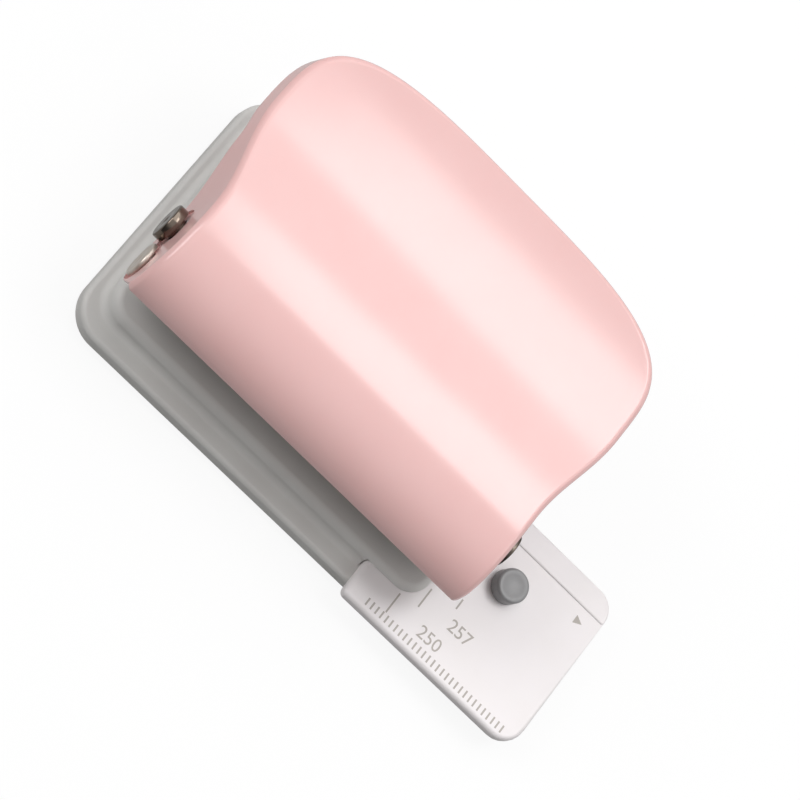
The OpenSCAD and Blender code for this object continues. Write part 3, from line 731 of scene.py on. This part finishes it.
    def stations(self) -> list[Station]:
        """Sections from the curled front rim to the middle of the rear edge, evenly spaced along the outline.

        Returns:
            The sections in order.
        """
        made = []
        first = math.asin(self.rim_r / (self.crest_z - self.brow_z))
        for k in range(self.curl_steps + 1):
            b = math.pi / 2 * (1 - k / self.curl_steps)
            height = self.brow_z + self.rim_r * (1 - math.sin(b))
            made.append(Station(self.on_brow(first, height), self.rim_r * (1 - math.cos(b))))
        for k in range(1, self.brow_steps + 1):
            made.append(Station(self.on_brow(first + (math.pi / 2 - first) * k / self.brow_steps)))
        for k in range(1, self.wave_steps + 1):
            made.append(Station(self.on_wave(self.crest_y + (self.flare_y - self.crest_y) * k / self.wave_steps)))
        fine = [math.pi / 2 * k / self.tail_samples for k in range(self.tail_samples + 1)]
        track = [self.on_tail(t)(0, 0) for t in fine]
        run = [0.0]
        for p, q in zip(track, track[1:]):
            run.append(run[-1] + math.dist(p, q))
        for k in range(1, self.tail_steps + 1):
            want = run[-1] * k / self.tail_steps
            made.append(Station(self.on_tail(next(t for t, r in zip(fine, run) if r >= want - 1e-9))))
        return made

    def half_section(self, station: Station) -> list[Point]:
        """Right half of a section, from the middle of the top round the rim to the middle of the inside.

        Args:
            station: The section's rule.

        Returns:
            Points in millimetres.
        """
        place, curl, r = station.place, station.curl, self.edge_r
        edge = place(r + curl, curl)
        inner = place(self.wall_t - curl, self.top_t - curl)
        made = [(edge[0] * share, edge[1], edge[2]) for share in self.across]
        # The upper edge lies between a quarter round and a chamfer
        for j in range(self.edge_steps + 1):
            step = j / self.edge_steps
            a = math.pi / 2 * (1 - step)
            inset = (1 - self.edge_flat) * (1 - math.cos(a)) + self.edge_flat * (1 - step)
            drop = (1 - self.edge_flat) * (1 - math.sin(a)) + self.edge_flat * step
            made.append(place(r * inset + curl, r * drop + curl))
        top = place(curl, r + curl)
        rolled = curl > 0 or abs(top[2] - self.low_edge(top[1])) < 1e-6

        def room(p: Point) -> float:
            """Height of a wall from its lower edge up to a point."""
            return 0.0 if rolled else p[2] - self.low_edge(p[1])

        def wall(inset: float, drop: float, lift: float) -> Point:
            """Point of a drafted wall at a height above its lower edge."""
            p = place(inset, drop)
            low = p[2] if rolled else self.low_edge(p[1]) + lift
            q = place(inset - (p[2] - low) * self.draft(p[1]), drop)
            return q[0], q[1], low

        rim = min(self.rim_r, self.rim_share * room(top))
        for share in self.outer_shares:
            made.append(wall(curl, r + curl, rim + (room(top) - rim) * share))
        for inside in (False, True):
            for j in range(self.rim_steps + 1):
                share = j / self.rim_steps
                c = math.pi / 2 * (1 - share if inside else share)
                inset = rim * (1 - math.cos(c))
                inset, offset = (self.wall_t - inset, -curl) if inside else (inset, curl)
                drop = r + (self.top_t - r) * inset / self.wall_t
                made.append(wall(inset + offset, drop + offset, rim * (1 - math.sin(c))))
        for share in self.inner_shares:
            made.append(wall(self.wall_t - curl, self.top_t - curl, rim + (room(inner) - rim) * share))
        made.extend((inner[0] * share, inner[1], inner[2]) for share in (1.0, *reversed(self.across)))
        return made

    def shell(self) -> Piece:
        """Builds the cover's shell from its sections and their mirror images.

        Returns:
            The closed shell before its recesses are cut.
        """
        rows = [self.half_section(s) for s in self.stations()]
        count = len(rows[0])
        points = [p for row in rows for p in row]
        points += [(-x, y, z) for x, y, z in points]
        faces = []
        for base in (0, len(rows) * count):
            for k in range(len(rows) - 1):
                for i in range(count - 1):
                    p = base + k * count + i
                    faces.append((p, p + 1, p + count + 1, p + count))
            faces.append(tuple(range(base, base + count)))
        return solid("handle_shell", points, faces)

    def boss(self, side: int) -> Piece:
        """Screw boss under the palm hollow, open at its lower end."""
        top = self.wave_z(self.boss_y) - self.top_t / 2 - self.boss_z
        profile = [(self.screw_depth, 0.0), (self.screw_depth, self.screw_r), (0.0, self.screw_r)]
        profile += [(0.0, self.boss_r - self.boss_chamfer), (self.boss_chamfer, self.boss_r)]
        profile += [(top, self.boss_r), (top, 0.0)]
        return turned("handle_boss", profile, (side * self.boss_x, self.boss_y, self.boss_z), "z", self.boss_steps)

    def build(self) -> None:
        """Cuts the pins' recesses into the shell, adds the bosses and dresses the cover."""
        piece = self.shell()
        bores = ((self.recess_from, self.recess_to, self.recess_r), (self.hole_from, self.hole_to, self.hole_r))
        cutters = []
        for side in SIDES:
            for y, z in (PIVOT_AXIS, ROD_AXIS):
                for start, end, radius in bores:
                    profile = [(side * start, 0.0), (side * start, radius), (side * end, radius), (side * end, 0.0)]
                    cutters.append(turned("cutter", profile, (0.0, y, z), "x", self.hole_steps))
        cut(piece, cutters)
        joined = bmesh.new()
        joined.from_mesh(piece.data)
        for side in SIDES:
            boss = self.boss(side)
            joined.from_mesh(boss.data)
            bpy.data.objects.remove(boss)
        joined.to_mesh(piece.data)
        joined.free()
        piece.name = "wave_cover"
        dress(settle(piece, self.sharp_deg), Finishes.COVER, Body.HANDLE, "cover", "handle_cover")


@dataclass
class CrossPins:
    """Pivot pin and drive rod with their flat heads on the left and their tails on the right."""

    radius: float = 1.75
    head_r: float = 3.0
    head_t: float = 0.7
    head_round: float = 0.3
    under_round: float = 0.12
    fillet: float = 0.05
    rod_head_t: float = 1.6
    groove_r: float = 1.35
    groove_w: float = 0.75
    tail: float = 1.05
    tail_round: float = 0.3
    pivot_out: float = 33.7
    rod_out: float = 34.7
    # Depth and radius of the shallow centre dimple, as a headed pin is left by the lathe
    dimple: tuple[tuple[float, float], ...] = ((0.22, 0.0), (0.12, 0.35), (0.03, 0.6), (0.0, 0.85))
    sharp_deg: float = 30.0
    clip_edge: float = 0.1

    def pin(self, name: str, out: float, axis: tuple[float, float], thick: float) -> Piece:
        """Turns one pin.

        Args:
            name: The piece's name.
            out: Distance from the middle to the clip.
            axis: The pin's axis in y and z.
            thick: Thickness of the head, inwards from its face.

        Returns:
            The pin.
        """
        face = -out - self.head_t
        under, end = face + thick, out + self.tail
        profile = [(face + depth, radius) for depth, radius in self.dimple]
        profile += arc((face + self.head_round, self.head_r - self.head_round), self.head_round, 180, 90, 5)
        profile += arc((under - self.under_round, self.head_r - self.under_round), self.under_round, 90, 0, 3)
        profile += [(under, self.radius + self.fillet), (under + self.fillet, self.radius)]
        profile += [(out, self.radius), (out, self.groove_r)]
        profile += [(out + self.groove_w, self.groove_r), (out + self.groove_w, self.radius)]
        profile += arc((end - self.tail_round, self.radius - self.tail_round), self.tail_round, 90, 0, 4) + [(end, 0.0)]
        return settle(turned(name, profile, (0.0, *axis), "x"), self.sharp_deg)

    def build(self, frame: dict) -> None:
        """Turns the pins and rounds the edges of their clips."""
        pivot = self.pin("pivot_pin_turned", self.pivot_out, PIVOT_AXIS, self.head_t)
        dress(pivot, Finishes.PIVOT, Body.BASE, "bright_steel", "pivot_pin")
        rod = self.pin("drive_rod_turned", self.rod_out, ROD_AXIS, self.rod_head_t)
        dress(rod, Finishes.ROD, Body.HANDLE, "bright_steel", "drive_rod")
        for node, body in (("pivot_clip", Body.BASE), ("drive_clip", Body.HANDLE)):
            refinish(frame, node, self.clip_edge, Finishes.SPRING, body, "spring_steel")


@dataclass
class PaperGauge:
    """White plate that slides out of the bed, with its printed scale and the grey locating stud."""

    top: float = 6.0
    low: float = 4.1
    edge_r: float = 0.8
    edge_segments: int = 5
    # Parts of the edge radius on the ledge, on the bottom and down the sides, and the height that tells them apart
    ledge_edge: float = 0.45
    low_edge: float = 0.25
    side_edge: float = 0.12
    near: float = 0.1
    ledge_share: float = 0.55
    stud_x: float = 42.75
    stud_r: float = 2.75
    stud_h: float = 2.6
    stud_bevel: float = 0.5
    stud_foot: float = 0.12
    stud_rim: float = 0.75
    stud_sharp_deg: float = 40.0
    stud_steps: int = 6
    dish_depth: float = 0.24
    spigot_r: float = 1.46
    film: float = 0.02
    tick_start: float = 26.75
    tick_count: int = 30
    tick_y: float = -17.25
    tick_length: float = 1.3
    tick_width: float = 0.3
    line_width: float = 0.28
    digit_size: float = 3.05
    digit_steps: int = 4
    arrow_at: tuple[float, float] = (55.4, 4.2)
    arrow_size: float = 1.5
    # Name, x, front end and rear end of each sheet line
    lines: tuple[tuple[str, float, float, float], ...] = (
        ("sheet_line_near", 30.0, -16.5, -12.75),
        ("sheet_line_far", 33.5, -12.3, -8.7),
        ("sheet_line_last", 38.45, -8.3, -6.4),
    )
    # Name, digits, left end and foot of each number
    numbers: tuple[tuple[str, str, float, float], ...] = (
        ("number_near", "250", 35.7, -15.8),
        ("number_far", "257", 39.0, -11.7),
    )

    def edge_share(self, start: Vector, end: Vector) -> float:
        """Part of the edge radius that an edge of the plate gets: most on top, less on the ledge and below."""
        height = min(start.z, end.z)
        if height > self.top + self.near:
            return self.ledge_edge
        if height > self.top - self.near:
            return 1.0
        return self.low_edge if max(start.z, end.z) < self.low + self.near else self.side_edge

    def stud(self) -> Piece:
        """Stud with a rounded rim and a shallow dish.

        Returns:
            The stud.
        """
        high, steps, bevel = self.top + self.stud_h, self.stud_steps, self.stud_bevel
        dished = self.stud_r - self.stud_rim
        profile = [(high - self.dish_depth * (1 - (k / steps) ** 2), dished * k / steps) for k in range(steps + 1)]
        profile += arc((high - bevel, self.stud_r - bevel), bevel, 0, 90, steps)
        profile += [(self.top + self.stud_foot, self.stud_r), (self.top, self.stud_r - self.stud_foot)]
        profile += [(self.top, self.spigot_r), (self.low, self.spigot_r), (self.low, 0.0)]
        return settle(turned("stud_moulded", profile, (self.stud_x, 0.0, 0.0), "z"), self.stud_sharp_deg)

    def ticks(self) -> Piece:
        """Row of printed millimetre ticks."""
        inputs = {
            "Count": self.tick_count,
            "Start": metres(self.tick_start, self.tick_y, self.top + self.film / 2),
            "Step": metres(1.0, 0.0, 0.0),
            "Size": metres(self.tick_width, self.tick_length, self.film),
        }

        def build(tree: Tree, given: bpy.types.NodeOutputs) -> Socket:
            """Sets one tick at each point of a line."""
            tick = add_node(tree, "GeometryNodeMeshCube", {"Size": given["Size"]})
            return repeated_in_line(tree, given, tick.outputs["Mesh"])

        return grown("scale_ticks", inputs, build, Finishes.INK)

    def line(self, name: str, x: float, front: float, back: float) -> Piece:
        """Printed line across the plate.

        Args:
            name: The piece's name.
            x: The line's middle.
            front: Its front end.
            back: Its rear end.

        Returns:
            A thin film on the plate.
        """
        xs = (x - self.line_width / 2, x + self.line_width / 2)
        points = [(a, b, c) for c in (self.top, self.top + self.film) for b in (front, back) for a in xs]
        return settle(solid(name, points, BOX_FACES))

    def number(self, name: str, digits: str, x: float, y: float) -> Piece:
        """Printed plain number.

        Args:
            name: The piece's name.
            digits: The number.
            x: Its left end.
            y: Its foot.

        Returns:
            A thin film in the shape of the digits.
        """
        text = bpy.data.curves.new(name, "FONT")
        text.body = digits
        text.size = self.digit_size * MM
        text.extrude = self.film / 2 * MM
        text.resolution_u = self.digit_steps
        writer = new_piece(name, text)
        mesh = baked(writer)
        bpy.data.objects.remove(writer)
        mesh.transform(Matrix.Translation(Vector((x, y, self.top + self.film / 2)) * MM))
        return settle(new_piece(name, mesh))

    def arrow(self) -> Piece:
        """Small printed arrowhead that points the way the plate pulls out."""
        (x, y), half = self.arrow_at, self.arrow_size / 2
        flat = [(x - half, y - half), (x + half, y), (x - half, y + half)]
        points = [(*p, z) for z in (self.top, self.top + self.film) for p in flat]
        faces = [(0, 1, 2), (3, 4, 5), (0, 1, 4, 3), (1, 2, 5, 4), (2, 0, 3, 5)]
        return settle(solid("pull_arrow", points, faces))

    def build(self, frame: dict) -> None:
        """Rounds the plate's edges, moulds the stud and prints the scale."""
        plate = softened(frame, "gauge_plate", self.edge_r, self.edge_segments, self.edge_share)
        # The ledge stands lower than the solid's, so that its step shows as the faint line of the photograph
        for vertex in plate.data.vertices:
            rise = vertex.co.z - self.top * MM
            vertex.co.z -= max(0.0, rise) * (1 - self.ledge_share)
        dress(plate, Finishes.GAUGE, Body.GAUGE, "gauge", "gauge_plate")
        dress(self.stud(), Finishes.STUD, Body.GAUGE, "stud", "locating_stud")
        prints = [self.ticks(), *(self.line(*row) for row in self.lines), *(self.number(*row) for row in self.numbers)]
        for mark in (*prints, self.arrow()):
            dress(mark, Finishes.INK, Body.GAUGE, "")


@dataclass
class PunchTrain:
    """Six punches with their washers and return springs in the guide bar."""

    pitch: float = 9.5
    count: int = 6
    coil_r: float = 3.6
    coil_steps: int = 28
    wire_r: float = 0.3
    wire_steps: int = 12
    turns: float = 3.5
    low: float = 10.25
    high: float = 15.558
    seat: float = 9.9
    washer_z: float = 15.908
    stroke: float = 2.283
    punch_edge: float = 0.05
    washer_edge: float = 0.08
    guide_edge: float = 0.2

    def springs(self) -> Piece:
        """Winds the six springs: each a helix whose end turns close up, as a cut coil spring has.

        Returns:
            One piece of six springs.
        """
        inputs = {
            "Count": self.count,
            "Start": metres(-self.pitch * (self.count - 1) / 2, 0.0, self.low),
            "Step": metres(self.pitch, 0.0, 0.0),
            "Turns": self.turns,
            "Coil Radius": self.coil_r * MM,
            "Wire Radius": self.wire_r * MM,
            "Height": (self.high - self.low) * MM,
        }

        def build(tree: Tree, given: bpy.types.NodeOutputs) -> Socket:
            """Winds one wire and repeats it along the row."""
            spiral = add_node(
                tree,
                "GeometryNodeCurveSpiral",
                {
                    "Resolution": self.coil_steps,
                    "Rotations": given["Turns"],
                    "Start Radius": given["Coil Radius"],
                    "End Radius": given["Coil Radius"],
                    "Height": given["Height"],
                },
            )
            here = add_node(tree, "GeometryNodeInputPosition").outputs["Position"]
            split = add_node(tree, "ShaderNodeSeparateXYZ", {"Vector": here}).outputs
            span = (0.0, given["Height"])
            risen = map_range(tree, split["Z"], span, span, "SMOOTHSTEP")
            wound = add_node(tree, "ShaderNodeCombineXYZ", {"X": split["X"], "Y": split["Y"], "Z": risen})
            moved = add_node(
                tree,
                "GeometryNodeSetPosition",
                {"Geometry": spiral.outputs["Curve"], "Position": wound.outputs["Vector"]},
            )
            section = {"Resolution": self.wire_steps, "Radius": given["Wire Radius"]}
            ring = add_node(tree, "GeometryNodeCurvePrimitiveCircle", section)
            wire = add_node(
                tree,
                "GeometryNodeCurveToMesh",
                {"Curve": moved.outputs["Geometry"], "Profile Curve": ring.outputs["Curve"], "Fill Caps": True},
            )
            return repeated_in_line(tree, given, wire.outputs["Mesh"])

        return grown("return_springs_wound", inputs, build, Finishes.SPRING)

    def build(self, frame: dict) -> None:
        """Winds the springs and finishes the punches, washers and guide bar."""
        numbers = range(1, self.count + 1)
        replaced = (f"return_spring_{i}" for i in numbers)
        springs = dress(self.springs(), Finishes.SPRING, Body.BASE, "spring_steel", *replaced)
        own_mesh(springs)
        rows = (("punch", self.punch_edge, Finishes.PUNCH), ("spring_washer", self.washer_edge, Finishes.PLATE))
        for i in numbers:
            for kind, edge, finish in rows:
                refinish(frame, f"{kind}_{i}", edge, finish, Body.PUNCHES, "bright_steel", 2)
        refinish(frame, "punch_guide", self.guide_edge, Finishes.CAST, Body.BASE, "guide")


@dataclass(frozen=True)
class ScrewSet:
    """Equal screws on both sides of the middle that stand for one node."""

    node: str
    body: Body
    xs: tuple[float, ...]
    y: float
    seat: float
    length: float


@dataclass
class SteelFrame:
    """Sheet-steel pieces of the frame and of the lever, and the screws that hold them."""

    sheet_edge: float = 0.15
    small_edge: float = 0.1
    screw_r: float = 1.25
    screw_steps: int = 32
    head_r: float = 2.1
    head_t: float = 1.25
    head_chamfer: float = 0.08
    dome_h: float = 0.45
    dome_steps: int = 6
    # The thread is drawn as rings 0.45 mm apart, at which it still shows in the render
    thread_pitch: float = 0.45
    thread_depth: float = 0.18
    thread_start: float = 0.1
    thread_flank: float = 0.15
    thread_crest: float = 0.25
    tip_in: float = 0.4
    slot_w: float = 0.6
    slot_reach: float = 1.2
    slot_depth: float = 0.7
    slot_over: float = 0.3
    slot_taper: float = 0.55
    sets: tuple[ScrewSet, ...] = (
        ScrewSet("frame_screws", Body.BASE, (25.935, 21.185), 13.5, 6.1, 3.2),
        ScrewSet("stop_screws", Body.BASE, (14.25,), 8.95, 6.1, 2.7),
        ScrewSet("cover_screws", Body.HANDLE, (19.0,), 20.5, 22.8, 2.9),
    )

    def screw(self, length: float) -> Piece:
        """Pan-head screw with a cross recess, head down, its seat at the origin.

        Args:
            length: Length of the shank above the seat.

        Returns:
            The screw as a pattern for the repeats.
        """
        r, root, steps, chamfer = self.screw_r, self.screw_r - self.thread_depth, self.dome_steps, self.head_chamfer
        profile = [
            (-self.head_t + self.dome_h * (k / steps) ** 2, self.head_r * k / steps) for k in range(steps + 1)
        ]
        profile += [(-chamfer, self.head_r), (0.0, self.head_r - chamfer), (0.0, r)]
        for k in range(int(length / self.thread_pitch)):
            z = self.thread_start + k * self.thread_pitch
            profile += [(z, root), (z + self.thread_flank, r), (z + self.thread_crest, r)]
        profile += [(length - self.thread_flank, root), (length, r - self.tip_in), (length, 0.0)]
        piece = turned("screw_pattern", profile, (0.0, 0.0, 0.0), "z", self.screw_steps)
        ends = ((-self.head_t - self.slot_over, 1.0), (-self.head_t + self.slot_depth, self.slot_taper))
        cutters = []
        for a, b in ((self.slot_reach, self.slot_w / 2), (self.slot_w / 2, self.slot_reach)):
            corners = [(sx * a * share, sy * b * share, z) for z, share in ends for sy in SIDES for sx in SIDES]
            cutters.append(solid("cutter", corners, BOX_FACES))
        return cut(piece, cutters)

    def screws(self, group: ScrewSet) -> Piece:
        """Sets a screw at each place of a set.

        Args:
            group: The set.

        Returns:
            One piece of all those screws.
        """
        name = f"{group.node}_set"
        pattern = self.screw(group.length)
        seats = solid(f"{name}_seats", [(s * x, group.y, group.seat) for s in SIDES for x in group.xs], [])

        def build(tree: Tree, given: bpy.types.NodeOutputs) -> Socket:
            """Puts the screw on every seat."""
            at, screw = (
                add_node(tree, "GeometryNodeObjectInfo", {"Object": given[key]}).outputs["Geometry"]
                for key in ("Seats", "Screw")
            )
            return repeated(tree, at, screw)

        piece = grown(name, {"Seats": seats, "Screw": pattern}, build, Finishes.PLATE)
        bpy.data.objects.remove(pattern)
        bpy.data.objects.remove(seats)
        return piece

    def build(self, frame: dict) -> None:
        """Finishes the sheet-steel pieces and sets the screws."""
        sheets = (
            ("left_side_plate", self.sheet_edge, Body.BASE),
            ("right_side_plate", self.sheet_edge, Body.BASE),
            ("paper_stop", self.sheet_edge, Body.BASE),
            ("die_strip", self.small_edge, Body.BASE),
            ("gauge_stop_pin", self.small_edge, Body.BASE),
            ("lever_frame", self.sheet_edge, Body.HANDLE),
        )
        for node, edge, body in sheets:
            refinish(frame, node, edge, Finishes.PLATE, body, "steel")
        for group in self.sets:
            dress(self.screws(group), Finishes.PLATE, group.body, "bright_steel", group.node)


@dataclass
class BedAndTray:
    """Pressed bed, the chip tray clipped into it and the anti-slip pad under the tray."""

    bed_edge: float = 0.12
    tray_edge: float = 0.15
    half: float = 30.9
    front: float = -12.0
    back: float = 27.5
    pad_top: float = 0.8
    pad_round: float = 0.2
    pad_foot: float = 0.3
    pad_sharp_deg: float = 50.0
    skin: float = 0.2
    corner_r: float = 1.5
    corner_steps: int = 8
    dot_r: float = 0.6
    dot_taper: float = 0.7
    dot_pitch: float = 2.1
    dot_margin: float = 1.9
    dot_sink: float = 0.05
    dot_steps: int = 12

    def pad(self) -> Piece:
        """Pad with a rounded outline, lifted by the height of its dots.

        Returns:
            The pad without its dots.
        """
        rings = ((self.pad_foot, self.skin), (0.0, self.skin + self.pad_round))
        rings += ((0.0, self.pad_top - self.pad_round), (self.pad_round, self.pad_top))
        points = []
        for inset, z in rings:
            r = self.corner_r - inset
            for n, (sx, sy) in enumerate(((1, 1), (-1, 1), (-1, -1), (1, -1))):
                cx = sx * (self.half - self.corner_r)
                cy = self.back - self.corner_r if sy > 0 else self.front + self.corner_r
                for k in range(self.corner_steps + 1):
                    a = math.pi / 2 * (n + k / self.corner_steps)
                    points.append((cx + r * math.cos(a), cy + r * math.sin(a), z))
        count = len(points) // len(rings)
        lids = [tuple(range(count)), tuple(range(len(points) - count, len(points)))]
        return settle(solid("pad_sheet", points, bands(len(rings), count) + lids), self.pad_sharp_deg)

    def dots(self) -> Piece:
        """Grid of low round feet on the pad's underside."""
        wide, deep = 2 * (self.half - self.dot_margin), self.back - self.front - 2 * self.dot_margin
        inputs = {
            "Width": wide * MM,
            "Depth": deep * MM,
            "Columns": int(wide / self.dot_pitch),
            "Rows": int(deep / self.dot_pitch),
            "Middle": metres(0.0, (self.front + self.back) / 2, 0.0),
            "Radius": self.dot_r * MM,
            "Height": (self.skin + self.dot_sink) * MM,
        }

        def build(tree: Tree, given: bpy.types.NodeOutputs) -> Socket:
            """Sets a low cone frustum at each point of a grid."""
            sides = {"Size X": "Width", "Size Y": "Depth", "Vertices X": "Columns", "Vertices Y": "Rows"}
            grid = add_node(tree, "GeometryNodeMeshGrid", {key: given[name] for key, name in sides.items()})
            middle = {"Geometry": grid.outputs["Mesh"], "Offset": given["Middle"]}
            moved = add_node(tree, "GeometryNodeSetPosition", middle)
            dot = add_node(
                tree,
                "GeometryNodeMeshCone",
                {
                    "Vertices": self.dot_steps,
                    "Radius Top": given["Radius"],
                    "Radius Bottom": maths(tree, "MULTIPLY", given["Radius"], self.dot_taper),
                    "Depth": given["Height"],
                },
            )
            return repeated(tree, moved.outputs["Geometry"], dot.outputs["Mesh"])

        return grown("pad_dots", inputs, build, Finishes.PAD)

    def build(self, frame: dict) -> None:
        """Finishes the bed and the tray and moulds the pad."""
        refinish(frame, "bed_plate", self.bed_edge, Finishes.BED, Body.BASE, "bed")
        refinish(frame, "chip_tray", self.tray_edge, Finishes.TRAY, Body.TRAY, "tray")
        dress(self.pad(), Finishes.PAD, Body.TRAY, "rubber", "anti_slip_pad")
        dress(self.dots(), Finishes.PAD, Body.TRAY, "rubber")


def facing(place: Point, aim: Point, upright: Point, roll_deg: float = 0.0) -> Matrix:
    """Gives the place and turn of a lamp or camera.

    Args:
        place: Where it stands.
        aim: What it looks at.
        upright: Direction that is up in its view before the roll.
        roll_deg: Turn about its line of sight.

    Returns:
        The matrix, in metres.
    """
    back = (Vector(place) - Vector(aim)).normalized()
    right = Vector(upright).cross(back).normalized()
    up = back.cross(right)
    a = math.radians(roll_deg)
    across = right * math.cos(a) + up * math.sin(a)
    upward = up * math.cos(a) - right * math.sin(a)
    turn = Matrix((across, upward, back)).transposed()
    return Matrix.Translation(Vector(place) * MM) @ turn.to_4x4()


@dataclass(frozen=True)
class Softbox:
    """Flat lamp that faces the punch, its width along the row of holes; its size is in metres."""

    name: str
    place: Point
    size: tuple[float, float]
    power: float
    aim: Point = (10.0, 10.0, 20.0)

    def build(self) -> None:
        """Hangs the lamp and turns it to the punch."""
        data = bpy.data.lights.new(self.name, "AREA")
        data.shape = "RECTANGLE"
        data.size, data.size_y = self.size
        data.energy = self.power
        new_piece(self.name, data).matrix_world = facing(self.place, self.aim, (0.0, 1.0, 0.0))


@dataclass
class Studio:
    """Camera of the photograph, pale floor, four softboxes and a dim surround."""

    eye: Point = (-92.39, -170.29, 414.18)
    target: Point = (12.504, 12.063, 1.1)
    turn_deg: float = 71.53
    lens: float = 136.03
    sensor: float = 36.0
    clip: tuple[float, float] = (0.01, 20.0)
    surround: float = 0.2
    # Brightness of the mirrored surround low at the front, how far y counts beside height, and where it turns white
    low_surround: float = 0.12
    lean: float = 0.45
    fade: tuple[float, float] = (0.1, 0.9)
    floor_half: float = 3000.0
    floor_z: float = -0.05
    floor_tone: str = "#A6A6A6"
    floor_white: float = 1.0
    floor_share: float = 0.9
    floor_mirrored: float = 0.3
    lamps: tuple[Softbox, ...] = (
        Softbox("overhead_strip", (235.0, 240.0, 670.0), (0.33, 0.3), 1.55),
        Softbox("wide_sheet", (-50.0, 560.0, 930.0), (1.2, 1.1), 4.9),
        Softbox("left_box", (-655.0, -70.0, 510.0), (0.45, 0.45), 2.7),
        Softbox("right_box", (655.0, -60.0, 540.0), (0.45, 0.45), 1.1),
    )

    def camera(self) -> None:
        """Sets the camera where the photograph was taken from, with its roll."""
        data = bpy.data.cameras.new("camera")
        data.sensor_width = self.sensor
        data.lens = self.lens
        data.clip_start, data.clip_end = self.clip
        camera = new_piece("camera", data)
        camera.matrix_world = facing(self.eye, self.target, (0.0, 0.0, 1.0), self.turn_deg)
        bpy.context.scene.camera = camera

    @staticmethod
    def rays(tree: Tree) -> tuple[Socket, Socket]:
        """Adds two values: 1 for what the camera sees, and 1 for what glossy and clear surfaces show."""
        path = add_node(tree, "ShaderNodeLightPath").outputs
        return path["Is Camera Ray"], maths(tree, "MAXIMUM", path["Is Glossy Ray"], path["Is Transmission Ray"])

    def floor(self) -> None:
        """Lays a plain pale floor that shows white to the camera and keeps a soft shadow."""
        far, z = self.floor_half, self.floor_z
        floor = solid("floor", [(-far, -far, z), (far, -far, z), (far, far, z), (-far, far, z)], [(0, 1, 2, 3)])
        material = bpy.data.materials.new("pale_paper_floor")
        tree = empty_tree(material)
        seen, mirrored = self.rays(tree)
        paper = add_node(tree, "ShaderNodeBsdfDiffuse", {"Color": blend(tree, seen, linear(self.floor_tone), WHITE)})
        white = add_node(tree, "ShaderNodeEmission", {"Color": WHITE, "Strength": self.floor_white})
        shown = maths(tree, "MAXIMUM", seen, maths(tree, "MULTIPLY", mirrored, self.floor_mirrored))
        share = maths(tree, "MULTIPLY", shown, self.floor_share)
        mixed = add_node(
            tree, "ShaderNodeMixShader", {0: share, 1: paper.outputs["BSDF"], 2: white.outputs["Emission"]}
        )
        add_node(tree, "ShaderNodeOutputMaterial", {"Surface": mixed.outputs["Shader"]})
        floor.data.materials.append(material)

    def sky(self) -> None:
        """Gives a dim even surround, white to the camera, and in mirrors white overhead and darker at the front."""
        world = bpy.data.worlds.new("surround")
        tree = empty_tree(world)
        way = add_node(tree, "ShaderNodeTexCoord").outputs["Generated"]
        split = add_node(tree, "ShaderNodeSeparateXYZ", {"Vector": way}).outputs
        height = maths(tree, "MULTIPLY_ADD", split["Y"], self.lean, split["Z"])
        reflected = map_range(tree, height, self.fade, (self.low_surround, 1.0), "SMOOTHSTEP")
        seen, mirrored = self.rays(tree)
        strength = blend(tree, seen, blend(tree, mirrored, self.surround, reflected), 1.0)
        sky = add_node(tree, "ShaderNodeBackground", {"Color": WHITE, "Strength": strength})
        add_node(tree, "ShaderNodeOutputWorld", {"Surface": sky.outputs["Background"]})
        bpy.context.scene.world = world

    def build(self) -> None:
        """Sets up the camera, the floor and the light."""
        bpy.context.scene.view_settings.view_transform = "Standard"
        self.camera()
        self.floor()
        self.sky()
        for lamp in self.lamps:
            lamp.build()


def main() -> None:
    """Builds every sub-assembly on the frame."""
    logging.basicConfig(level=logging.INFO, format="%(name)s: %(message)s")
    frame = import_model()
    Studio().build()
    WaveHandle().build()
    CrossPins().build(frame)
    PaperGauge().build(frame)
    BedAndTray().build(frame)
    SteelFrame().build(frame)
    PunchTrain().build(frame)


if __name__ == "__main__":
    main()
